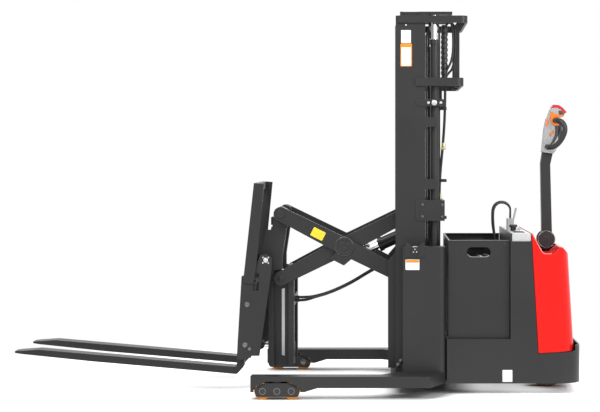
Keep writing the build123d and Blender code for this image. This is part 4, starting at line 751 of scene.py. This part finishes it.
FEED_FITTING_RADIUS, SHORT_FITTING_RADIUS = 0.0075, 0.0065
HOSE_CLAMPS_Z, CLAMP_HEIGHT, CLAMP_X, CLAMP_HALF_WIDTH, CLAMP_BEVEL = (
    (1.430, 1.060, 0.870), 0.016, (0.722, 0.772), 0.014, 0.0025,
)


def coil(work, x, y, low, high):
    """A flat spiral wound round an upright bundle."""
    turns = (high - low) / WRAP_PITCH
    steps = round(turns * WRAP_STEPS_A_TURN)
    rings = []
    for step in range(steps + 1):
        angle = 2 * math.pi * turns * step / steps
        height = low + (high - low) * step / steps
        out = Vector((math.cos(angle), math.sin(angle), 0))
        centre = Vector((x, y, height)) + out * WRAP_RADIUS
        rings.append([
            work.verts.new(
                centre + out * (WRAP_THICKNESS * WRAP_OUT_SHARE * math.cos(turn))
                + Vector((0, 0, WRAP_PITCH * WRAP_WIDTH_SHARE * math.sin(turn)))
            )
            for turn in (2 * math.pi * k / WRAP_ROUND for k in range(WRAP_ROUND))
        ])
    join_rings(work, rings)
    work.faces.new(rings[0][::-1])
    work.faces.new(rings[-1])


def mast_hose(name, points, radius):
    return tube_mesh(name, points, radius, "chassis", rubber)


work = bmesh.new()
coil(work, BUNDLE_X, HOSE_Y, BUNDLE_LOW + WRAP_SET_IN, BUNDLE_HIGH - WRAP_SET_IN)
make_piece("bundle_wrap", work, "chassis", wrap_plastic, angle=WRAP_SHARP_ANGLE)
bundle_route = [(BUNDLE_X, HOSE_Y, z) for z in (BUNDLE_LOW, BUNDLE_MIDDLE, BUNDLE_HIGH)]
bundle = mast_hose("bundle_core", bundle_route, BUNDLE_RADIUS)
mast_hose("feed_hose", [(x, HOSE_Y, z) for x, z in FEED_ROUTE], FEED_HOSE_RADIUS)
mast_hose("short_hose", [(x, HOSE_Y, z) for x, z in SHORT_ROUTE], SMALL_HOSE_RADIUS)
for index, (aside, far_x, low_z) in enumerate(BENT_HOSES):
    route = (
        (0.770, 1.866), (0.778, 1.884), (far_x, 1.876), (far_x + 0.006, 1.80), (far_x + 0.004, 1.72),
        (far_x - 0.008, low_z + 0.01), (0.776, low_z - 0.016), (0.768, low_z - 0.034),
    )
    mast_hose(f"bent_hose_{index + 1}", [(x, HOSE_Y + aside, z) for x, z in route], SMALL_HOSE_RADIUS)
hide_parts("mast_hoses")
work = bmesh.new()
hose_fitting(work, (0.7645, HOSE_Y, 1.556), UP, FEED_FITTING_RADIUS, 0.040)
hose_fitting(work, (0.748, HOSE_Y, 1.556), UP, SHORT_FITTING_RADIUS, 0.036)
hose_fitting(work, (0.7566, HOSE_Y, 1.262), (-0.08, 0, -1), FEED_FITTING_RADIUS, 0.036)
hose_fitting(work, (0.7345, HOSE_Y, 1.000), (0, 0, -1), FEED_FITTING_RADIUS, 0.034)
make_piece("feed_fittings", work, "chassis", zinc)
work = bmesh.new()
for z in HOSE_CLAMPS_Z:
    block(
        work, (CLAMP_X[0], HOSE_Y - CLAMP_HALF_WIDTH, z),
        (CLAMP_X[1], HOSE_Y + CLAMP_HALF_WIDTH, z + CLAMP_HEIGHT), bevel=CLAMP_BEVEL,
    )
make_piece("hose_clamps", work, "chassis", charcoal)

# Reach hoses, sagging between their two ends
REACH_HOSES = ((-0.062, 0.668, 0.456), (-0.038, 0.662, 0.438))
REACH_HOSE_RADIUS, REACH_HOSE_KEEP = 0.007, 0.276
REACH_HOSE_SAG = (
    (0.548, 0.0), (0.488, -0.020), (0.392, -0.062), (0.276, -0.135), (0.164, -0.186), (0.084, -0.208),
)
REACH_FITTING_X, REACH_FITTING_RADIUS, REACH_FITTING_LENGTH = 0.566, 0.0075, 0.034
work = bmesh.new()
for index, (y, back_z, front_z) in enumerate(REACH_HOSES):
    points = [(0.582, y, back_z)] + [(x, y, back_z + drop) for x, drop in REACH_HOSE_SAG]
    points += [(0.0398, y, front_z), (0.0058, y, front_z)]
    hose = tube_mesh(
        f"reach_hose_{index + 1}", points, REACH_HOSE_RADIUS, "mast_carriage", rubber,
    )
    if index == 0:
        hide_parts("reach_hoses")
    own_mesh(hose)
    hose_fitting(work, (REACH_FITTING_X, y, back_z), (1, 0, 0), REACH_FITTING_RADIUS, REACH_FITTING_LENGTH)
make_piece("reach_hose_fittings", work, "mast_carriage", zinc)

# Battery: cells with vent caps, poles and links
BATTERY_FRONT, BATTERY_REAR, BATTERY_HALF, CELL_GAP = 0.7953, 1.067, 0.374, 0.003
CELL_ROWS, CELL_COLUMNS, CELL_HEIGHT = 2, 6, 0.008
CELL_TOP = BATTERY_TOP + CELL_HEIGHT
VENT_CAP = [(0.016, 0.0), (0.016, 0.010), (0.013, 0.014), (0.0, 0.014)]
POLE_OUT, POLE_RADIUS, POLE_HEIGHT = 0.042, 0.009, 0.009
LINK_OUT, LINK_HALF, LINK_PAST, LINK_LOW, LINK_TOP = 0.034, 0.008, 0.004, 0.016, 0.021
SMALL_BEVEL = 0.001
work, caps, links = bmesh.new(), bmesh.new(), bmesh.new()
step_x = (BATTERY_REAR - BATTERY_FRONT) / CELL_ROWS
step_y = 2 * BATTERY_HALF / CELL_COLUMNS
half_x, half_y = step_x / 2 - CELL_GAP, step_y / 2 - CELL_GAP
for row in range(CELL_ROWS):
    for column in range(CELL_COLUMNS):
        x = BATTERY_FRONT + step_x * (row + 0.5)
        y = -BATTERY_HALF + step_y * (column + 0.5)
        block(work, (x - half_x, y - half_y, BATTERY_TOP), (x + half_x, y + half_y, CELL_TOP), bevel=CELL_GAP)
        lathe(caps, (x, y, CELL_TOP), UP, VENT_CAP, count=20)
        for end in (-1, 1):
            pole = (x + end * POLE_OUT, y, CELL_TOP)
            disc(links, pole, UP, POLE_RADIUS, POLE_HEIGHT, count=18, bevel=SMALL_BEVEL)
        if column + 1 < CELL_COLUMNS:
            link_x = x + LINK_OUT * (-1) ** column
            block(
                links, (link_x - LINK_HALF, y - LINK_PAST, BATTERY_TOP + LINK_LOW),
                (link_x + LINK_HALF, y + step_y + LINK_PAST, BATTERY_TOP + LINK_TOP), bevel=SMALL_BEVEL,
            )
make_piece("battery_cells", work, "chassis", plastic)
make_piece("battery_caps", caps, "chassis", dark_grey_plastic)
make_piece("battery_links", links, "chassis", dark_steel)

# Battery box: a dark stud at the rear of each rim
BOX_FACE = 0.3961
STUD_X, STUD_Z = 1.061, 0.755
STUD = [(0.0095, 0.0), (0.0095, 0.0008), (0.0075, 0.0012), (0.0060, 0.0006), (0.0, 0.0006)]
work = bmesh.new()
on_both_sides(lathe, work, STUD_X, BOX_FACE, STUD_Z, STUD)
make_piece("box_studs", work, "chassis", plastic)

# Console: display in its frame, key switch and small buttons
CONSOLE_TOP, DISPLAY_FLOOR = 0.8061, 0.8033
DISPLAY_X, DISPLAY_Y = 1.135, -0.280
GLASS_HALF_X, GLASS_HALF_Y = 0.0235, 0.0485
GLASS_SUNK, GLASS_SET_DOWN = 0.0005, 0.0004
FRAME_RIM, FRAME_OPENING = (0.060, 0.110, 0.008), (0.048, 0.098, 0.004)
FRAME_HEIGHT, FRAME_TAPER = 0.0016, 0.98
KEY_Y = -0.170
KEY_BARREL = [
    (0.0150, 0.0), (0.0150, 0.0030), (0.0130, 0.0050), (0.0095, 0.0050), (0.0090, 0.0030), (0.0, 0.0030),
]
KEY_SEAT, KEY_TURN, KEY_SECTION = 0.0030, (0.8, 0.6, 0), (0.0120, 0.0030, 0.0010)
KEY_HEIGHT, KEY_BEVEL = 0.0180, 0.0004
BUTTONS, BUTTON_X, BUTTON_Y, BUTTON_STEP = 3, 1.162, 0.030, 0.034
BUTTON_RADIUS, BUTTON_HEIGHT = 0.0095, 0.0035
work = bmesh.new()
block(
    work, (DISPLAY_X - GLASS_HALF_X, DISPLAY_Y - GLASS_HALF_Y, DISPLAY_FLOOR - GLASS_SUNK),
    (DISPLAY_X + GLASS_HALF_X, DISPLAY_Y + GLASS_HALF_Y, CONSOLE_TOP - GLASS_SET_DOWN), bevel=SMALL_BEVEL,
)
make_piece("display_glass", work, "chassis", dark_glass)
work = bmesh.new()
rings = [
    [
        work.verts.new((DISPLAY_X + a * scale, DISPLAY_Y + b * scale, z))
        for a, b in rounded_rectangle(*section)
    ]
    for section, scale, z in (
        (FRAME_RIM, 1.0, CONSOLE_TOP), (FRAME_RIM, FRAME_TAPER, CONSOLE_TOP + FRAME_HEIGHT),
        (FRAME_OPENING, 1.0, CONSOLE_TOP + FRAME_HEIGHT), (FRAME_OPENING, 1.0, DISPLAY_FLOOR),
    )
]
join_rings(work, rings)
make_piece("display_frame", work, "chassis", plastic)
work = bmesh.new()
lathe(work, (DISPLAY_X, KEY_Y, CONSOLE_TOP), UP, KEY_BARREL, count=32)
place = axes_at((DISPLAY_X, KEY_Y, CONSOLE_TOP + KEY_SEAT), UP, KEY_TURN)
prism(work, place, rounded_rectangle(*KEY_SECTION), 0.0, KEY_HEIGHT, bevel=KEY_BEVEL)
make_piece("key_switch", work, "chassis", bright_zinc)
work = bmesh.new()
for index in range(BUTTONS):
    place = (BUTTON_X, BUTTON_Y + BUTTON_STEP * index, CONSOLE_TOP)
    disc(work, place, UP, BUTTON_RADIUS, BUTTON_HEIGHT, count=24, bevel=SMALL_BEVEL)
make_piece("console_buttons", work, "chassis", grey_plastic)

# Tiller: rings and caps on its drum's ends
DRUM_X, DRUM_Y, DRUM_Z = 1.291, -0.100, 0.763
DRUM_HALF = 0.0391
DRUM_RING = [
    (0.0445, 0.0), (0.0445, 0.0010), (0.0435, 0.0024), (0.0424, 0.0024), (0.0418, 0.0010), (0.0418, 0.0),
]
DRUM_CAP = [(0.0395, 0.0), (0.0395, 0.0006), (0.0150, 0.0008), (0.0140, 0.0020), (0.0, 0.0020)]
work, caps = bmesh.new(), bmesh.new()
for side in SIDES:
    centre = (DRUM_X, DRUM_Y + side * DRUM_HALF, DRUM_Z)
    lathe(work, centre, (0, side, 0), DRUM_RING, count=48)
    lathe(caps, centre, (0, side, 0), DRUM_CAP, count=48)
make_piece("drum_rings", work, "steering", bare_steel)
make_piece("drum_caps", caps, "steering", charcoal)

# Tiller head: orange levers and strips, and dark inlays, on both faces, as outlines in X and Z
HEAD_LEFT, HEAD_RIGHT = -0.1481, -0.0519
WING = [
    (1.311, 1.421), (1.309, 1.385), (1.315, 1.363), (1.330, 1.351), (1.347, 1.349), (1.355, 1.354),
    (1.351, 1.361), (1.334, 1.366), (1.326, 1.378), (1.326, 1.392), (1.340, 1.396), (1.362, 1.392),
    (1.378, 1.398), (1.380, 1.405), (1.372, 1.409), (1.352, 1.405), (1.334, 1.409), (1.318, 1.423),
]
BACK_STRIP = [(1.285, 1.349), (1.296, 1.348), (1.301, 1.378), (1.299, 1.389), (1.294, 1.388)]
LOW_STRIP = [(1.303, 1.301), (1.308, 1.297), (1.328, 1.319), (1.328, 1.326), (1.323, 1.327), (1.304, 1.308)]
DARK_BLOCK = [(1.352, 1.428), (1.356, 1.410), (1.382, 1.402), (1.3805, 1.415), (1.370, 1.430)]
DARK_INLAY = [
    (1.329, 1.366), (1.352, 1.350), (1.350, 1.300), (1.330, 1.262), (1.304, 1.246), (1.318, 1.268),
    (1.333, 1.300), (1.336, 1.330),
]
levers, strips, blocks = bmesh.new(), bmesh.new(), bmesh.new()
for side, y in ((LEFT, HEAD_LEFT), (RIGHT, HEAD_RIGHT)):
    place = axes_at((0, y, 0), (0, side, 0), (-side, 0, 0))
    for work, outline, thickness, bevel, segments in (
        (levers, WING, 0.0080, 0.0022, 2), (strips, BACK_STRIP, 0.0012, 0.0004, 1),
        (strips, LOW_STRIP, 0.0030, 0.0010, 2), (blocks, DARK_BLOCK, 0.0030, 0.0010, 2),
        (blocks, DARK_INLAY, 0.0015, 0.0005, 1),
    ):
        outline = side_outline(side, outline)
        prism(work, place, outline, 0.0, thickness, bevel=bevel, rim_only=True, segments=segments)
make_piece("head_levers", levers, "tiller", orange_plastic)
make_piece("head_strips", strips, "tiller", orange_plastic)
make_piece("head_blocks", blocks, "tiller", dark_grey_plastic)

# Hand grips as smooth loops: millimetres from the drum's centre, behind it, above it and out from it
GRIP_RADIUS = 0.0135
GRIP_ROUTE = (
    (43, 614, 48.3), (43, 616, 92), (72, 610, 124), (90, 572, 132), (74, 520, 128), (38, 478, 112),
    (4, 476, 88), (4, 478, 48.3),
)
for name, side in zip(SIDE_NAMES, SIDES):
    points = [
        (DRUM_X + x / 1000, DRUM_Y + side * out / 1000, DRUM_Z + z / 1000) for x, z, out in GRIP_ROUTE
    ]
    grip = tube_mesh(f"grip_{name}", points, GRIP_RADIUS, "tiller", plastic)
    if side == LEFT:
        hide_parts("tiller_grips")

# Painted highlight along the rolled edge of the cover's dip: a thin bead in a lighter red, as a route in X
# and Z
COVER_FACE, COVER_EDGE_RADIUS = 0.4205, 0.0026
COVER_EDGE = (
    (1.1936, 0.8030), (1.2080, 0.7770), (1.2236, 0.7471), (1.2460, 0.7040), (1.2740, 0.7042),
    (1.2900, 0.7042),
)
for name, side in zip(SIDE_NAMES, SIDES):
    points = [(x, side * COVER_FACE, z) for x, z in COVER_EDGE]
    tube_mesh(f"cover_edge_{name}", points, COVER_EDGE_RADIUS, "chassis", red_edge_highlight)

# Hand holes of the battery box: a lower lip on both in bright steel, a painted highlight where the lip faces
# up, and a dark plate behind the far one
HOLE_X, HOLE_Z, HOLE_HALF, HOLE_ROUND, HOLE_CORNER = 0.926, 0.711, 0.0600, 0.0249, 0.0245
LIP_PROUD, LIP_DEPTH, LIP_LEVEL = 0.0006, 0.002, -0.4
LIP_NARROW_X, LIP_NARROW_Z = 0.97, 0.92
BOX_WALL, PLATE_GAP, PLATE_THICKNESS, PLATE_BEVEL = 0.388, 0.0004, 0.0010, 0.0002
PLATE_PAST_X, PLATE_PAST_Z = 0.010, 0.006
work = bmesh.new()
hole = rounded_rectangle(2 * HOLE_HALF, 2 * HOLE_ROUND, HOLE_CORNER)
lip = [(a, b) for a, b in hole if b < LIP_LEVEL * HOLE_ROUND]
for side in SIDES:
    rings = [
        [
            work.verts.new((HOLE_X + a * narrow_x, side * (BOX_FACE + proud), HOLE_Z + b * narrow_z))
            for a, b in lip
        ]
        for narrow_x, narrow_z, proud in (
            (1.0, 1.0, 0.0), (1.0, 1.0, LIP_PROUD), (LIP_NARROW_X, LIP_NARROW_Z, LIP_PROUD),
            (LIP_NARROW_X, LIP_NARROW_Z, -LIP_DEPTH),
        )
    ]
    join_rings(work, rings, closed=False)
# Bright steel on the lower lip only: painted highlight
make_piece("hole_lips_highlight", work, "chassis", bare_steel)
work = bmesh.new()
half_x, half_z = HOLE_HALF + PLATE_PAST_X, HOLE_ROUND + PLATE_PAST_Z
block(
    work, (HOLE_X - half_x, BOX_WALL - PLATE_GAP - PLATE_THICKNESS, HOLE_Z - half_z),
    (HOLE_X + half_x, BOX_WALL - PLATE_GAP, HOLE_Z + half_z), bevel=PLATE_BEVEL,
)
make_piece("far_hole_plate", work, "chassis", charcoal)

# Stage, lights and camera: the floor turns white away from the machine and is lifted where nothing shades it
FLOOR_HALF, FLOOR_ROUGHNESS, FLOOR_SPECULAR, FLOOR_NOISE = 40.0, 0.7, 0.1, (0.5, 3.0)
FLOOR_TONES = ((0.3, (0.93, 0.93, 0.93)), (0.7, (0.96, 0.96, 0.96)))
WHITE_SCALE, WHITE_FROM, WHITE_TO = (0.42, 0.62, 0.0), 0.62, 1.15
SHADE_REACH, SHADE_SAMPLES, SHADE_FROM, SHADE_TO = 0.20, 24, 0.40, 0.95
FLOOR_LIFT = 0.66
WORLD_STRENGTH = 0.45
WHITE = (1.0, 1.0, 1.0, 1.0)


def camera_rays(tree):
    """1 for what the camera or a reflection sees, 0 for what lights the object."""
    rays = add_node(tree, "ShaderNodeLightPath").outputs
    seen = combine(tree, "MAXIMUM", rays["Is Camera Ray"], rays["Is Glossy Ray"])
    return combine(tree, "MAXIMUM", seen, rays["Is Transmission Ray"])


def smooth_step(tree, value, low, high, top=1.0):
    """0 below one level of a value, and smoothly up to the top above another."""
    limits = {"From Min": low, "From Max": high, "To Max": top}
    node = add_node(tree, "ShaderNodeMapRange", interpolation_type="SMOOTHSTEP", Value=value, **limits)
    return node.outputs["Result"]


def make_stage():
    mesh = bpy.data.meshes.new("floor")
    work = bmesh.new()
    bmesh.ops.create_grid(work, x_segments=1, y_segments=1, size=FLOOR_HALF)
    work.to_mesh(mesh)
    work.free()
    floor = link_object("floor", mesh)
    material, tree, shader = new_material("pale_floor")
    tree.links.new(ramp(tree, object_noise(tree, *FLOOR_NOISE), FLOOR_TONES), shader.inputs["Base Color"])
    shader.inputs["Roughness"].default_value = FLOOR_ROUGHNESS
    shader.inputs["Specular IOR Level"].default_value = FLOOR_SPECULAR
    seen = camera_rays(tree)
    place = add_node(tree, "ShaderNodeTexCoord").outputs["Object"]
    squeezed = add_node(tree, "ShaderNodeMapping", Vector=place, Scale=WHITE_SCALE).outputs["Vector"]
    away = add_node(tree, "ShaderNodeVectorMath", operation="LENGTH", Vector=squeezed).outputs["Value"]
    far = smooth_step(tree, away, WHITE_FROM, WHITE_TO)
    white = add_node(tree, "ShaderNodeEmission", Color=WHITE, Strength=1.0)
    # Painted shadow: the camera-only glow fades where ambient occlusion finds the machine close by, which
    # paints a dark contact shadow under it
    shaded = add_node(tree, "ShaderNodeAmbientOcclusion", Distance=SHADE_REACH, samples=SHADE_SAMPLES)
    clear = smooth_step(tree, shaded.outputs["AO"], SHADE_FROM, SHADE_TO, top=FLOOR_LIFT)
    lift = add_node(tree, "ShaderNodeEmission", Color=WHITE, Strength=combine(tree, "MULTIPLY", clear, seen))
    near = add_node(tree, "ShaderNodeAddShader")
    tree.links.new(shader.outputs["BSDF"], near.inputs[0])
    tree.links.new(lift.outputs["Emission"], near.inputs[1])
    whole = add_node(tree, "ShaderNodeMixShader", Fac=combine(tree, "MULTIPLY", far, seen))
    tree.links.new(near.outputs["Shader"], whole.inputs[1])
    tree.links.new(white.outputs["Emission"], whole.inputs[2])
    tree.links.new(whole.outputs["Shader"], tree.nodes["Material Output"].inputs["Surface"])
    mesh.materials.append(material)


def make_light(name, place, target, size, power):
    data = bpy.data.lights.new(name, "AREA")
    data.shape = "RECTANGLE"
    data.size, data.size_y = size
    data.energy = power
    light = link_object(name, data)
    light.location = place
    light.rotation_mode = "QUATERNION"
    light.rotation_quaternion = (Vector(target) - Vector(place)).to_track_quat("-Z", "Y")


def make_world():
    world = bpy.data.worlds.new("studio")
    bpy.context.scene.world = world
    world.use_nodes = True
    tree = world.node_tree
    background = tree.nodes["Background"].inputs
    background["Color"].default_value = WHITE
    tree.links.new(span(tree, camera_rays(tree), WORLD_STRENGTH, 1.0), background["Strength"])


def make_camera():
    data = bpy.data.cameras.new("camera")
    data.sensor_width = SENSOR_WIDTH
    data.lens = FOCAL_PIXELS / IMAGE_WIDTH * SENSOR_WIDTH
    data.shift_x = (IMAGE_WIDTH / 2 - CENTRE_U) / IMAGE_WIDTH
    data.shift_y = (CENTRE_V - IMAGE_HEIGHT / 2) / IMAGE_WIDTH
    data.clip_end = CLIP_END
    camera = link_object("camera", data)
    camera.location = CAMERA_PLACE
    camera.rotation_euler = (math.radians(90), 0, 0)
    bpy.context.scene.camera = camera


make_stage()
make_world()
make_camera()
make_light("key", (-2.5, -5.0, 5.5), (0.1, 0, 0.7), (3.0, 3.0), 330)
make_light("fill", (4.5, -4.0, 3.0), (0.3, 0, 0.8), (3.0, 3.0), 160)
make_light("back", (1.5, 4.5, 4.5), (0.2, 0, 0.8), (4.0, 2.5), 180)
bpy.context.scene.view_settings.view_transform = "Standard"
